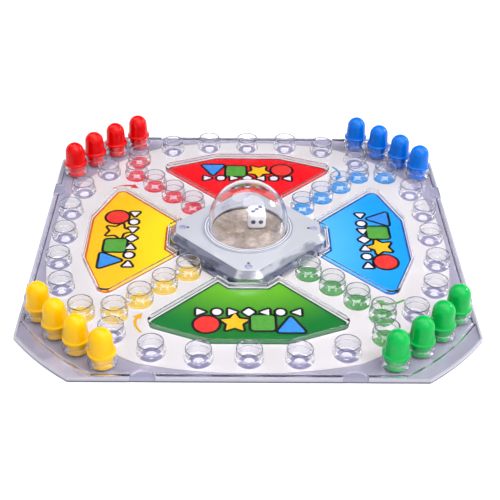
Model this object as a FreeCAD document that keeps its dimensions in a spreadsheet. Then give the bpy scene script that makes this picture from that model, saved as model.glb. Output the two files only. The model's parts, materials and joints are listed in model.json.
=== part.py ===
"""Pop-up dice board game: a square clear board with a press-dome die popper in its middle.

Frame: +Z up, origin under the middle of the board, on the surface it rests on, millimetres.
The red home corner is at -X +Y, blue at +X +Y, green at +X -Y and yellow at -X -Y.
"""
import FreeCAD, Part
import math
import os
import Sketcher

doc = FreeCAD.newDocument("pop_up_dice_game")

# ---------------------------------------------------------------- driving dimensions

DIMENSIONS = [
    ("board_width", 268, "side of the square board"),
    ("tray_floor", 1.0, "floor of the base tray"),
    ("tray_wall", 1.2, "upright edge of the base tray, thickness"),
    ("tray_edge", 2.4, "upright edge of the base tray, height over the table"),
    ("clip_radius", 7.0, "half-round snap clip on the tray's edge"),
    ("clip_offset", 58, "snap clips from the middle of each side"),
    ("clip_height", 3.7, "top of the snap clips over the table"),
    ("clip_round", 0.6, "snap clips, radius of their top edge"),
    ("card_sheet", 0.4, "printed card, thickness"),
    ("card_margin", 6.0, "board edge to the crown of the card's bowed side"),
    ("card_bow", 248, "radius of the card's bowed sides"),
    ("card_home_gap", 2.3, "card's corner arc to the home sockets"),
    ("card_gap", 0.3, "printed card to the clear deck over it"),
    ("deck_sheet", 0.9, "clear deck, thickness"),
    ("deck_gap", 0.2, "deck edge to the tray's upright edge"),
    ("lip_drop", 0.7, "fall of the deck's corner lips"),
    ("bead_width", 2.0, "raised bead round the deck, width"),
    ("bead_height", 1.3, "raised bead round the deck, height"),
    ("bead_margin", 2.0, "board side to the bead"),
    ("bead_corner_margin", 8.5, "board corner arc to the bead"),
    ("bead_bevel", 0.5, "raised bead, bevel of its top edges"),
    ("bead_socket_gap", 0.1, "raised bead to the home sockets, at least"),
    ("row_margin", 15.6, "board side to the track's straight row"),
    ("track_margin", 8.4, "board side to the track's circle"),
    ("hole_pitch", 28, "track sockets, centre to centre"),
    ("corner_half_angle", 6.38, "corner track sockets each side of the diagonal, degrees"),
    ("home_step", 20.3, "track circle to the arc of home sockets"),
    ("home_pitch", 19.4, "home sockets, centre to centre"),
    ("home_margin", 20.6, "arc of home sockets to the board's corner arc"),
    ("lane_gap", 14.4, "track circle to the outer lane socket"),
    ("lane_clearance", 0.7, "inner lane socket to the popper"),
    ("socket_height", 8.4, "peg socket, height over the deck"),
    ("socket_belly", 16.6, "peg socket, widest diameter"),
    ("socket_foot", 14.4, "peg socket, diameter on the deck"),
    ("socket_neck", 14.9, "peg socket, diameter of its neck"),
    ("socket_ledge", 4.4, "peg socket, height of the inner ledge"),
    ("socket_foot_round", 1.65, "peg socket, radius of its rounded foot"),
    ("socket_foot_rise", 1.5, "peg socket, height of its rounded foot"),
    ("socket_shoulder_round", 1.5, "peg socket, radius of its shoulder"),
    ("socket_shoulder_drop", 1.1, "peg socket, start of its shoulder under the ledge"),
    ("socket_shoulder_rise", 0.2, "peg socket, end of its shoulder over the ledge"),
    ("socket_draft", 0.1, "peg socket, taper of its neck"),
    ("socket_bore", 13.0, "peg socket, bore under the ledge"),
    ("socket_mouth", 13.4, "peg socket, bore over the ledge"),
    ("peg_height", 24.1, "top of a seated peg over the deck"),
    ("peg_body", 14.0, "peg, diameter over the collar"),
    ("peg_crown", 13.0, "peg, diameter where the rounded top begins"),
    ("peg_collar", 16.0, "peg collar, diameter"),
    ("peg_collar_sheet", 1.1, "peg collar, thickness"),
    ("peg_collar_round", 0.45, "peg collar, radius of its upper edge"),
    ("peg_flare", 1.5, "peg, radius of its flare into the collar"),
    ("peg_fit", 0.3, "peg stem to the socket, all round"),
    ("peg_foot_gap", 0.6, "peg stem to the deck"),
    ("peg_core", 8.0, "hollow in the peg, diameter"),
    ("peg_core_roof", 8.0, "top of the hollow to the peg's top"),
    ("peg_core_round", 2.0, "hollow in the peg, radius of its roof's edge"),
    ("window_height", 3.3, "raised window, height over the deck"),
    ("window_sheet", 1.2, "raised window, top thickness"),
    ("window_wall", 1.2, "raised window, wall thickness"),
    ("window_lane_gap", 9.4, "raised window to the lane sockets"),
    ("window_row_gap", 5.1, "raised window to the track's straight row"),
    ("window_flat", 46, "raised window, straight middle of its outer side"),
    ("window_slope", 22, "raised window, turn of its outer side, degrees"),
    ("window_tip_round", 6.3, "raised window, corner radius of its two tips"),
    ("window_bend_round", 12.0, "raised window, corner radius of its two bends"),
    ("window_top_round", 0.7, "raised window, radius of its top edge"),
    ("window_popper_gap", 0.6, "raised window to the popper"),
    ("panel_fit", 0.25, "printed panel inside the line of the window's walls"),
    ("panel_sheet", 0.2, "printed panel, thickness"),
    ("popper_height", 8.5, "popper housing, top plate over the deck"),
    ("popper_top_flat", 36.9, "popper top plate, middle to its long sides"),
    ("popper_corner_cut", 9.35, "popper, cut corner further out than its long sides"),
    ("popper_round", 9.7, "popper skirt, radius beside its cut corners"),
    ("popper_bevel", 3.7, "popper, widening from top plate to skirt"),
    ("popper_skirt", 4.3, "popper, height of the upright skirt"),
    ("popper_foot_width", 3.0, "popper, foot further out than the skirt's long sides"),
    ("popper_foot_corner", 0.5, "popper, foot further out than the skirt's cut corners"),
    ("popper_foot_sheet", 1.0, "popper, foot thickness"),
    ("popper_shell", 1.4, "popper housing, wall thickness"),
    ("boss_radius", 40.3, "middle of the popper to its screws"),
    ("boss_width", 7.0, "screw boss, diameter"),
    ("dome_width", 50.5, "dome, outer diameter"),
    ("dome_sheet", 1.25, "dome, wall thickness"),
    ("dome_wall", 8.0, "dome, straight wall under the half sphere"),
    ("dome_flange", 54.8, "dome flange, diameter"),
    ("dome_flange_sheet", 1.0, "dome flange, thickness"),
    ("dome_gap", 0.3, "dome to the housing, all round"),
    ("dome_travel", 3.0, "dome, press travel"),
    ("lip_height", 1.1, "retaining lip round the dome, over the top plate"),
    ("lip_wall", 1.3, "retaining lip round the dome, outside the flange's hole"),
    ("floor_width", 53.6, "die floor, diameter"),
    ("floor_sheet", 0.5, "die floor, thickness"),
    ("ring_wall", 1.2, "guide ring of the popper base, thickness"),
    ("base_sheet", 1.2, "popper base, plate thickness"),
    ("base_width", 68, "popper base, diameter"),
    ("striker_width", 10, "striker post of the popper base, diameter"),
    ("striker_gap", 0.3, "striker post to the die floor when pressed"),
    ("spring_sheet", 0.4, "snap spring, thickness"),
    ("spring_span", 44, "snap spring, span of its crossed leaves"),
    ("spring_leaf", 9, "snap spring, width of a leaf"),
    ("spring_gap", 0.2, "snap spring to the die floor"),
    ("screw_shank", 2.8, "popper screw, shank diameter"),
    ("screw_head", 5.4, "popper screw, head diameter"),
    ("screw_length", 7.6, "popper screw, length"),
    ("screw_sink", 0.1, "popper screw head under the tray's floor"),
    ("screw_fit", 0.1, "popper screw to its holes, all round"),
    ("screw_tip_gap", 1.3, "popper screw's tip to the end of its pilot hole"),
    ("die_size", 12, "die, edge to edge"),
    ("die_round", 2.8, "die, edge radius"),
    ("die_right", 5.4, "die from the middle, to the right"),
    ("die_back", 5.2, "die from the middle, to the back"),
    ("die_turn", 3, "die, turn about the vertical, degrees"),
    ("pip_ball", 2.2, "pip, radius of the hollow"),
    ("pip_depth", 0.5, "pip, depth"),
    ("pip_step", 2.45, "pip, steps from the face's middle"),
    ("pip_row_step", 3.05, "pip, steps along a row of three"),
    ("flange_play", 0.1, "dome flange to the underside of the retaining lip"),
    ("cutter_reach", 20, "cutters, how far they reach past what they cut"),
]

sheet = doc.addObject("Spreadsheet::Sheet", "Dims")
sheet.Label = "driving dimensions"
for row, (alias, value, meaning) in enumerate(DIMENSIONS, 1):
    sheet.set("A%d" % row, meaning)
    sheet.set("B%d" % row, str(value))
    sheet.setAlias("B%d" % row, alias)
doc.recompute()


def size(expression):
    """Value of an expression over the sheet's cells, in millimetres or degrees."""
    result = sheet.evalExpression(expression)
    return float(getattr(result, "Value", result))


# ---------------------------------------------------------------- sizes that follow from them

HALF = "(Dims.board_width / 2)"
TRACK_RADIUS = "(Dims.board_width / 2 - Dims.track_margin)"
ROW_RADIUS = "(Dims.board_width / 2 - Dims.row_margin)"
HOME_RADIUS = "(%s + Dims.home_step)" % TRACK_RADIUS
CORNER_RADIUS = "(%s + Dims.home_margin)" % HOME_RADIUS
CARD_TOP = "(Dims.tray_floor + Dims.card_sheet)"
DECK_BASE = "(%s + Dims.card_gap)" % CARD_TOP
DECK_TOP = "(%s + Dims.deck_sheet)" % DECK_BASE
POPPER_TOP = "(%s + Dims.popper_height)" % DECK_TOP
SKIRT_FLAT = "(Dims.popper_top_flat + Dims.popper_bevel)"
FOOT_FLAT = "(%s + Dims.popper_foot_width)" % SKIRT_FLAT
PLATE_BASE = "(%s - Dims.popper_shell)" % POPPER_TOP
FLANGE_TOP = "(%s - Dims.flange_play)" % POPPER_TOP
FLANGE_BASE = "(%s - Dims.dome_flange_sheet)" % FLANGE_TOP
FLOOR_BASE = "(%s - Dims.floor_sheet)" % FLANGE_BASE
SKIRT_REACH = "(%s + Dims.popper_corner_cut)" % SKIRT_FLAT
FOOT_REACH = "(%s + Dims.popper_foot_corner)" % SKIRT_REACH
DOME_CENTRE = "(%s + Dims.dome_wall)" % FLANGE_BASE
BASE_TOP = "(%s + Dims.base_sheet)" % DECK_TOP
FLANGE_HOLE = "(Dims.dome_flange / 2 + Dims.dome_gap)"
LANE_OUTER = "(%s - Dims.lane_gap)" % TRACK_RADIUS
LANE_INNER = "(%s + Dims.lane_clearance + Dims.socket_belly / 2)" % FOOT_FLAT

SIDES = ("front", "right", "back", "left")
COLOURS = ("green", "blue", "red", "yellow")
SIDE_STEP = 360 // len(SIDES)
SIDE_TURN = {side: SIDE_STEP * count for count, side in enumerate(SIDES)}
CORNER_TURN = {colour: SIDE_STEP * count + SIDE_STEP // 2 for count, colour in enumerate(COLOURS)}
WINDOW_COLOUR = dict(zip(SIDES, COLOURS))

FLAT = 1e-6

nodes = {}


def keep(node, item):
    """Give an object its label and count it as one of the model's pieces."""
    item.Label = node
    nodes[node] = item
    return item


# ---------------------------------------------------------------- building helpers

def new_body(name):
    return doc.addObject("PartDesign::Body", name)


def new_sketch(body, name, role, lift=None):
    """Sketch on one of the body's own origin planes, moved off it by an expression."""
    sketch = body.newObject("Sketcher::SketchObject", name)
    plane = [item for item in body.Origin.OriginFeatures if item.Role == role][0]
    sketch.AttachmentSupport = [(plane, "")]
    sketch.MapMode = "FlatFace"
    if lift:
        sketch.setExpression(".AttachmentOffset.Base.z", lift)
    return sketch


def arc_between(start, end, radius, bulge):
    """Minor arc from start to end; bulge +1 keeps its centre on the left of the way."""
    chord = end - start
    half = chord.Length / 2
    left = FreeCAD.Vector(-chord.y, chord.x, 0).normalize()
    centre = start + chord * 0.5 + left * (bulge * math.sqrt(max(radius ** 2 - half ** 2, 0)))
    first = math.atan2(start.y - centre.y, start.x - centre.x)
    last = math.atan2(end.y - centre.y, end.x - centre.x)
    circle = Part.Circle(centre, FreeCAD.Vector(0, 0, 1), radius)
    if bulge > 0:
        return Part.ArcOfCircle(circle, first, last), 1, 2
    return Part.ArcOfCircle(circle, last, first), 2, 1


def draw_outline(sketch, corners):
    """Closed outline through corners given as expressions.

    A corner is (x, y) where a straight side follows it, or (x, y, radius, bulge) where an
    arc of that radius follows it.
    """
    points = [FreeCAD.Vector(size(corner[0]), size(corner[1]), 0) for corner in corners]
    ends = []
    for index, corner in enumerate(corners):
        start = points[index]
        end = points[(index + 1) % len(points)]
        if len(corner) > 2:
            arc, first, last = arc_between(start, end, size(corner[2]), corner[3])
            geometry = sketch.addGeometry(arc, False)
            rule = sketch.addConstraint(Sketcher.Constraint("Radius", geometry, size(corner[2])))
            sketch.setExpression("Constraints[%d]" % rule, corner[2])
        else:
            first, last = 1, 2
            geometry = sketch.addGeometry(Part.LineSegment(start, end), False)
        ends.append((geometry, first, last))
    for index, corner in enumerate(corners):
        geometry, first, last = ends[index]
        before, unused, joint = ends[index - 1]
        sketch.addConstraint(Sketcher.Constraint("Coincident", before, joint, geometry, first))
        for kind, expression in (("DistanceX", corner[0]), ("DistanceY", corner[1])):
            value = size(expression)
            rule = sketch.addConstraint(Sketcher.Constraint(kind, -1, 1, geometry, first, value))
            sketch.setExpression("Constraints[%d]" % rule, expression)


def pad(body, name, sketch, length):
    feature = body.newObject("PartDesign::Pad", name)
    feature.Profile = sketch
    feature.setExpression("Length", length)
    return feature


def pocket(body, name, sketch, length):
    """Cut upwards, along the sketch's own normal."""
    feature = body.newObject("PartDesign::Pocket", name)
    feature.Profile = sketch
    feature.Reversed = True
    feature.setExpression("Length", length)
    return feature


def revolve_body(name, corners):
    """Body turned about the vertical from a half section of (radius, height) corners."""
    body = new_body(name)
    sketch = new_sketch(body, name + "_section", "XZ_Plane")
    draw_outline(sketch, corners)
    turned = body.newObject("PartDesign::Revolution", name + "_turned")
    turned.Profile = sketch
    turned.ReferenceAxis = (sketch, ["V_Axis"])
    turned.Angle = 360
    return body


def place(item, x="0", y="0", z="0", turn="0"):
    """Bind an object's place and its turn about the vertical to expressions."""
    item.setExpression(".Placement.Base.x", x)
    item.setExpression(".Placement.Base.y", y)
    item.setExpression(".Placement.Base.z", z)
    item.setExpression(".Placement.Rotation.Angle", turn)
    return item


def section_sketch(name, corners):
    """Free-standing upright half section, x as radius and y as height."""
    sketch = doc.addObject("Sketcher::SketchObject", name)
    sketch.Placement = FreeCAD.Placement(FreeCAD.Vector(),
                                         FreeCAD.Rotation(FreeCAD.Vector(1, 0, 0), 90))
    draw_outline(sketch, corners)
    return sketch


def turned_from(section, name, x, y, z, turn="0", sweep=360):
    """Solid of revolution of a shared section, at its own place and turn."""
    item = doc.addObject("Part::Revolution", name)
    item.Source = section
    item.Axis = FreeCAD.Vector(0, 0, 1)
    item.Base = FreeCAD.Vector(0, 0, 0)
    item.Angle = sweep
    item.Solid = True
    return place(item, x, y, z, turn)


def cylinder(name, radius, height, x="0", y="0", z="0"):
    item = doc.addObject("Part::Cylinder", name)
    item.setExpression("Radius", radius)
    item.setExpression("Height", height)
    return place(item, x, y, z)


def slab(name, width, height, z="0"):
    """Square slab about the vertical axis."""
    item = doc.addObject("Part::Box", name)
    item.setExpression("Length", width)
    item.setExpression("Width", width)
    item.setExpression("Height", height)
    return place(item, "-(%s) / 2" % width, "-(%s) / 2" % width, z)


def common(name, items):
    item = doc.addObject("Part::MultiCommon", name)
    item.Shapes = items
    return item


def fuse(name, items):
    item = doc.addObject("Part::MultiFuse", name)
    item.Shapes = items
    item.Refine = True
    return item


def cut(name, base, tool):
    item = doc.addObject("Part::Cut", name)
    item.Base = base
    item.Tool = tool
    return item


def top_edges(shape):
    """Numbers of the edges that lie flat in the top plane of a shape."""
    top = shape.BoundBox.ZMax
    numbers = []
    for number, edge in enumerate(shape.Edges, 1):
        if edge.BoundBox.ZLength < FLAT and abs(edge.BoundBox.ZMax - top) < FLAT:
            numbers.append(number)
    return numbers


def bevel_top(item, name, width):
    """Bevel all edges in the top plane of an object."""
    doc.recompute()
    bevelled = doc.addObject("Part::Chamfer", name)
    bevelled.Base = item
    bevelled.Edges = [(number, width, width) for number in top_edges(item.Shape)]
    return bevelled


def board_plan(name, inset, corner_inset, height, z):
    """The board's plan, a square with its corners cut by one circle, drawn in by insets."""
    square = slab(name + "_square", "(Dims.board_width - 2 * (%s))" % inset, height, z)
    circle = cylinder(name + "_circle", "%s - (%s)" % (CORNER_RADIUS, corner_inset), height, z=z)
    return common(name, [square, circle])


def turned_point(radius, angle):
    """Expressions for a point at a radius, an angle round from the front towards the right."""
    return "(%s) * sin(%s)" % (radius, angle), "-(%s) * cos(%s)" % (radius, angle)


def group(node, items):
    item = doc.addObject("Part::Compound", node)
    item.Links = items
    return keep(node, item)


# ---------------------------------------------------------------- places of the sockets

def track_places(turn):
    """Seven places along one side, in the order of play; the last is a start place."""
    step = "2 * asin(Dims.hole_pitch / 2 / %s)" % TRACK_RADIUS
    corner = "(45 deg - Dims.corner_half_angle * 1 deg)"
    places = []
    for count in (-3, -2, -1, 0, 1, 2, 3):
        if abs(count) == 3:
            along, away = turned_point(TRACK_RADIUS, "%d * %s" % (count // 3, corner))
        elif abs(count) == 2:
            along, away = turned_point(TRACK_RADIUS,
                                       "%d * (%s - %s)" % (count // 2, corner, step))
        else:
            along, away = "(%d * Dims.hole_pitch)" % count, "-" + ROW_RADIUS
        x = "(%s) * cos(%d) - (%s) * sin(%d)" % (along, turn, away, turn)
        y = "(%s) * sin(%d) + (%s) * cos(%d)" % (along, turn, away, turn)
        places.append((x, y))
    return places


def home_places(turn):
    """Four home places of one corner."""
    step = "2 * asin(Dims.home_pitch / 2 / %s)" % HOME_RADIUS
    return [turned_point(HOME_RADIUS, "%d deg + (%.1f) * %s" % (turn, share, step))
            for share in (-1.5, -0.5, 0.5, 1.5)]


def lane_places(turn):
    """Four lane places of one corner, from the outer one in."""
    places = []
    for count in range(4):
        radius = "%s + (%s - %s) * %d / 3" % (LANE_OUTER, LANE_INNER, LANE_OUTER, count)
        places.append(turned_point(radius, str(turn)))
    return places


# ---------------------------------------------------------------- base tray

def clip_places():
    """Label, place and turn of each clip on the board's edge lines, two to a side."""
    places = []
    for side, turn in SIDE_TURN.items():
        for hand, end in ((-1, "left"), (1, "right")):
            along = "(%d * Dims.clip_offset)" % hand
            x = "%s * cos(%d) + %s * sin(%d)" % (along, turn, HALF, turn)
            y = "%s * sin(%d) - %s * cos(%d)" % (along, turn, HALF, turn)
            places.append(("%s_%s" % (side, end), x, y, str(turn)))
    return places


def clip_discs(name, radius, height, z):
    """Discs about the places of all clips."""
    discs = []
    for label, x, y, unused in clip_places():
        discs.append(cylinder("%s_%s" % (name, label), radius, height, x, y, z))
    return fuse(name, discs)


SCREW_TURNS = tuple(SIDE_TURN.values())


def screw_cylinders(name, radius, height, z):
    """Four cylinders on the popper's screw axes."""
    items = []
    for turn in SCREW_TURNS:
        x, y = turned_point("Dims.boss_radius", str(turn))
        items.append(cylinder("%s_%d" % (name, turn), radius, height, x, y, z))
    return fuse(name, items)


def screw_sinks(name, head_radius, shank_radius, depth, z):
    """Four cones for countersunk heads on the popper's screw axes."""
    items = []
    for turn in SCREW_TURNS:
        cone = doc.addObject("Part::Cone", "%s_%d" % (name, turn))
        cone.setExpression("Radius1", head_radius)
        cone.setExpression("Radius2", shank_radius)
        cone.setExpression("Height", depth)
        x, y = turned_point("Dims.boss_radius", str(turn))
        items.append(place(cone, x, y, z))
    return items


SHANK_HOLE = "(Dims.screw_shank / 2 + Dims.screw_fit)"
HEAD_HOLE = "(Dims.screw_head / 2 + Dims.screw_fit)"
SINK_DEPTH = "((Dims.screw_head - Dims.screw_shank) / 2)"


def make_base_tray():
    floor = board_plan("tray_floor_plate", "0", "0", "Dims.tray_floor", "0")
    edge_outer = board_plan("tray_edge_outer", "0", "0", "Dims.tray_edge", "0")
    edge_inner = board_plan("tray_edge_inner", "Dims.tray_wall", "Dims.tray_wall",
                            "2 * Dims.cutter_reach", "-Dims.cutter_reach")
    edge = cut("tray_edge_wall", edge_outer, edge_inner)
    notches = clip_discs("tray_notch", "Dims.clip_radius", "Dims.cutter_reach", "Dims.tray_floor")
    whole = fuse("tray_whole", [floor, cut("tray_edge", edge, notches)])
    holes = [screw_cylinders("tray_hole", SHANK_HOLE, "2 * Dims.cutter_reach",
                             "-Dims.cutter_reach")]
    holes += screw_sinks("tray_sink", HEAD_HOLE + " + Dims.screw_sink", SHANK_HOLE,
                         SINK_DEPTH + " + Dims.screw_sink", "0")
    keep("base_tray", cut("base_tray", whole, fuse("tray_holes", holes)))


def make_snap_clips():
    """Half-round clips on the tray's floor that hold the deck's edge."""
    height = "(Dims.clip_height - Dims.tray_floor)"
    section = section_sketch("clip_section", [
        ("0", "0"),
        ("Dims.clip_radius", "0"),
        ("Dims.clip_radius", "%s - Dims.clip_round" % height, "Dims.clip_round", 1),
        ("Dims.clip_radius - Dims.clip_round", height),
        ("0", height),
    ])
    clips = []
    for label, x, y, turn in clip_places():
        clips.append(turned_from(section, "clip_" + label, x, y, "Dims.tray_floor", turn, 180))
    group("snap_clips", clips)


# ---------------------------------------------------------------- printed card

def make_printed_card():
    bows = []
    sink = "(Dims.card_bow - %s + Dims.card_margin)" % HALF
    for side, turn in SIDE_TURN.items():
        x, y = turned_point(sink, str(turn + 180))
        bows.append(cylinder("card_bow_" + side, "Dims.card_bow", "Dims.card_sheet", x, y,
                             "Dims.tray_floor"))
    corner = "%s - Dims.socket_belly / 2 - Dims.card_home_gap" % HOME_RADIUS
    bows.append(cylinder("card_corner", corner, "Dims.card_sheet", z="Dims.tray_floor"))
    holes = screw_cylinders("card_hole", HEAD_HOLE, "Dims.cutter_reach", "0")
    keep("printed_card", cut("printed_card", common("card_plan", bows), holes))


# ---------------------------------------------------------------- deck and its bead

def make_top_deck():
    inset = "(Dims.tray_wall + Dims.deck_gap)"
    plate = board_plan("deck_plate", inset, inset, "Dims.deck_sheet", DECK_BASE)
    lip_start = "(%s - Dims.bead_corner_margin + Dims.deck_gap)" % CORNER_RADIUS
    lip_run = "(%s - %s - %s)" % (CORNER_RADIUS, inset, lip_start)
    slope = doc.addObject("Part::Cone", "deck_lip_slope")
    slope.setExpression("Radius1", "%s + %s * Dims.deck_sheet / Dims.lip_drop" % (lip_start, lip_run))
    slope.setExpression("Radius2", lip_start)
    slope.setExpression("Height", "Dims.deck_sheet")
    place(slope, z=DECK_BASE)
    sloped = common("deck_sloped", [plate, slope])
    notches = clip_discs("deck_notch", "Dims.clip_radius + Dims.deck_gap", "Dims.cutter_reach", "0")
    holes = screw_cylinders("deck_hole", SHANK_HOLE, "Dims.cutter_reach", "0")
    keep("top_deck", cut("top_deck", sloped, fuse("deck_openings", [notches, holes])))


def make_rim_bead():
    outer = board_plan("bead_outer", "Dims.bead_margin", "Dims.bead_corner_margin",
                       "Dims.bead_height", DECK_TOP)
    inner = board_plan("bead_inner", "Dims.bead_margin + Dims.bead_width",
                       "Dims.bead_corner_margin + Dims.bead_width", "Dims.cutter_reach", "0")
    ring = bevel_top(cut("bead_ring", outer, inner), "bead_bevelled", size("Dims.bead_bevel"))
    notches = [clip_discs("bead_notch", "Dims.clip_radius + Dims.deck_gap", "Dims.cutter_reach",
                          "0")]
    for colour in COLOURS:
        for count, (x, y) in enumerate(home_places(CORNER_TURN[colour]), 1):
            notches.append(cylinder("bead_clear_%s_%d" % (colour, count),
                                    "Dims.socket_belly / 2 + Dims.bead_socket_gap",
                                    "Dims.cutter_reach", x, y))
    keep("rim_bead", cut("rim_bead", ring, fuse("bead_notches", notches)))


# ---------------------------------------------------------------- peg sockets

def socket_section():
    foot = "Dims.socket_foot / 2"
    belly = "Dims.socket_belly / 2"
    neck = "Dims.socket_neck / 2"
    return [
        ("Dims.socket_bore / 2", "0"),
        (foot, "0", "Dims.socket_foot_round", 1),
        (belly, "Dims.socket_foot_rise"),
        (belly, "Dims.socket_ledge - Dims.socket_shoulder_drop", "Dims.socket_shoulder_round", 1),
        (neck, "Dims.socket_ledge + Dims.socket_shoulder_rise"),
        (neck + " - Dims.socket_draft", "Dims.socket_height"),
        ("Dims.socket_mouth / 2", "Dims.socket_height"),
        ("Dims.socket_mouth / 2", "Dims.socket_ledge"),
        ("Dims.socket_bore / 2", "Dims.socket_ledge"),
    ]


def make_sockets():
    section = section_sketch("socket_section", socket_section())

    def row(node, places):
        items = []
        for count, (x, y) in enumerate(places, 1):
            items.append(turned_from(section, "%s_%d" % (node, count), x, y, DECK_TOP))
        group(node, items)

    for side in SIDES:
        row("track_sockets_" + side, track_places(SIDE_TURN[side]))
    for colour in COLOURS:
        row("lane_sockets_" + colour, lane_places(CORNER_TURN[colour]))
        row("home_sockets_" + colour, home_places(CORNER_TURN[colour]))


# ---------------------------------------------------------------- pegs

def peg_section():
    lower = "(Dims.socket_bore / 2 - Dims.peg_fit)"
    upper = "(Dims.socket_mouth / 2 - Dims.peg_fit)"
    collar = "(Dims.peg_collar / 2)"
    crown = "(Dims.peg_crown / 2)"
    seat = "Dims.socket_height"
    collar_top = "(%s + Dims.peg_collar_sheet)" % seat
    edge = "Dims.peg_collar_round"
    flare_out = "(%s - %s - Dims.peg_body / 2)" % (collar, edge)
    flare_up = "sqrt(%s * (2 * Dims.peg_flare - %s))" % (flare_out, flare_out)
    core_top = "(Dims.peg_height - Dims.peg_core_roof)"
    return [
        ("Dims.peg_core / 2", "Dims.peg_foot_gap"),
        (lower, "Dims.peg_foot_gap"),
        (lower, "Dims.socket_ledge + Dims.peg_foot_gap"),
        (upper, "Dims.socket_ledge + Dims.peg_foot_gap"),
        (upper, seat),
        (collar, seat),
        (collar, "%s - %s" % (collar_top, edge), edge, 1),
        ("%s - %s" % (collar, edge), collar_top, "Dims.peg_flare", -1),
        ("Dims.peg_body / 2", "%s + %s" % (collar_top, flare_up)),
        (crown, "Dims.peg_height - " + crown, crown, 1),
        ("0", "Dims.peg_height"),
        ("0", core_top),
        ("Dims.peg_core / 2 - Dims.peg_core_round", core_top, "Dims.peg_core_round", -1),
        ("Dims.peg_core / 2", core_top + " - Dims.peg_core_round"),
    ]


def make_pegs():
    section = section_sketch("peg_section", peg_section())
    for colour in COLOURS:
        for count, (x, y) in enumerate(home_places(CORNER_TURN[colour]), 1):
            node = "peg_%s_%d" % (colour, count)
            keep(node, turned_from(section, node, x, y, DECK_TOP))


# ---------------------------------------------------------------- raised windows and panels

def window_corners(inset):
    """Plan of the front window, drawn in by an inset; the window points to the popper."""
    side = "((Dims.socket_belly / 2 + Dims.window_lane_gap + (%s)) * sqrt(2))" % inset
    outer = "(%s - Dims.socket_belly / 2 - Dims.window_row_gap)" % ROW_RADIUS
    slope = "Dims.window_slope"
    offset = "(Dims.window_flat / 2 * sin(%s) + %s * cos(%s) - (%s))" % (slope, outer, slope, inset)
    tip_x = "((%s - %s * cos(%s)) / (sin(%s) + cos(%s)))" % (offset, side, slope, slope, slope)
    bend_x = "(Dims.window_flat / 2 - (%s) * tan(%s / 2))" % (inset, slope)
    popper = "((%s + Dims.window_popper_gap + (%s)) * sqrt(2))" % (FOOT_FLAT, inset)
    nose = "(%s + Dims.window_popper_gap + (%s))" % (FOOT_REACH, inset)
    shoulder_x = "((%s - %s) / 2)" % (popper, side)
    right = [
        ("(%s - %s)" % (popper, nose), "-" + nose),
        (shoulder_x, "-(%s + %s)" % (shoulder_x, side)),
        (tip_x, "-(%s + %s)" % (tip_x, side)),
        (bend_x, "-(%s - (%s))" % (outer, inset)),
    ]
    left = [("-" + x, y) for x, y in reversed(right)]
    return right + left


def upright_edges(shape, reach, spare):
    """Names of the upright edges at a distance from the middle plane, give or take."""
    names = []
    for number, edge in enumerate(shape.Edges, 1):
        box = edge.BoundBox
        if box.XLength < FLAT and box.YLength < FLAT and abs(abs(box.XMin) - reach) < spare:
            names.append("Edge%d" % number)
    return names


def round_edges(body, name, feature, edges, radius):
    fillet = body.newObject("PartDesign::Fillet", name)
    fillet.Base = (feature, edges)
    fillet.setExpression("Radius", radius)
    doc.recompute()
    return fillet


def window_block(body, side, inset, height):
    """Plan block of one window with its tips and bends rounded."""
    plan = new_sketch(body, body.Name + "_plan", "XY_Plane")
    corners = window_corners(inset)
    draw_outline(plan, corners)
    block = pad(body, body.Name + "_block", plan, height)
    doc.recompute()
    for name, corner, radius in (("tip", corners[2], "Dims.window_tip_round"),
                                 ("bend", corners[3], "Dims.window_bend_round")):
        edges = upright_edges(block.Shape, size(corner[0]), FLAT)
        block = round_edges(body, "%s_%s" % (body.Name, name), block, edges,
                            "%s - (%s)" % (radius, inset))
    return block


def make_windows():
    for side in SIDES:
        colour = WINDOW_COLOUR[side]
        turn = str(SIDE_TURN[side])
        body = new_body("window_" + side)
        block = window_block(body, side, "0", "Dims.window_height")
        edges = ["Edge%d" % number for number in top_edges(block.Shape)]
        round_edges(body, "window_top_" + side, block, edges, "Dims.window_top_round")
        hollow = new_sketch(body, "window_hollow_plan_" + side, "XY_Plane")
        draw_outline(hollow, window_corners("Dims.window_wall"))
        pocket(body, "window_hollow_" + side, hollow, "Dims.window_height - Dims.window_sheet")
        keep("window_" + side, place(body, z=DECK_TOP, turn=turn))

        panel = new_body("panel_" + colour)
        window_block(panel, colour, "(Dims.window_wall + Dims.panel_fit)", "Dims.panel_sheet")
        keep("panel_" + colour, place(panel, z=CARD_TOP, turn=turn))


# ---------------------------------------------------------------- popper

def diamond_corners(flat, reach, radius):
    """Square standing on its corner, each corner cut off straight and rounded beside the cut."""
    half = "((%s) * sqrt(2) - %s)" % (flat, reach)
    tangent = "((%s) * tan(22.5))" % radius
    short = "(%s - %s)" % (half, tangent)
    near = "(%s + %s / sqrt(2))" % (half, tangent)
    far = "(%s - %s / sqrt(2))" % (reach, tangent)
    quarter = [(short, "-" + reach, radius, 1), (near, "-" + far), (far, "-" + near, radius, 1),
               (reach, "-" + short)]
    corners = []
    for turn in range(4):
        corners += quarter
        quarter = [("-(%s)" % corner[1], corner[0]) + corner[2:] for corner in quarter]
    return corners


def popper_block(body, name, lift, inset, height, taper=None, cutting=False):
    """Block or hollow on the popper's skirt plan drawn in by an inset."""
    plan = new_sketch(body, name + "_plan", "XY_Plane", lift)
    draw_outline(plan, diamond_corners("(%s - (%s))" % (SKIRT_FLAT, inset),
                                       "(%s - (%s))" % (SKIRT_REACH, inset),
                                       "(Dims.popper_round - (%s))" % inset))
    feature = (pocket if cutting else pad)(body, name, plan, height)
    if taper:
        feature.setExpression("TaperAngle", taper)


def popper_circle(body, name, lift, radius, height, x="0", y="0", cutting=False):
    plan = new_sketch(body, name + "_plan", "XY_Plane", lift)
    circle_outline(plan, radius, x, y)
    (pocket if cutting else pad)(body, name, plan, height)


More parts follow.
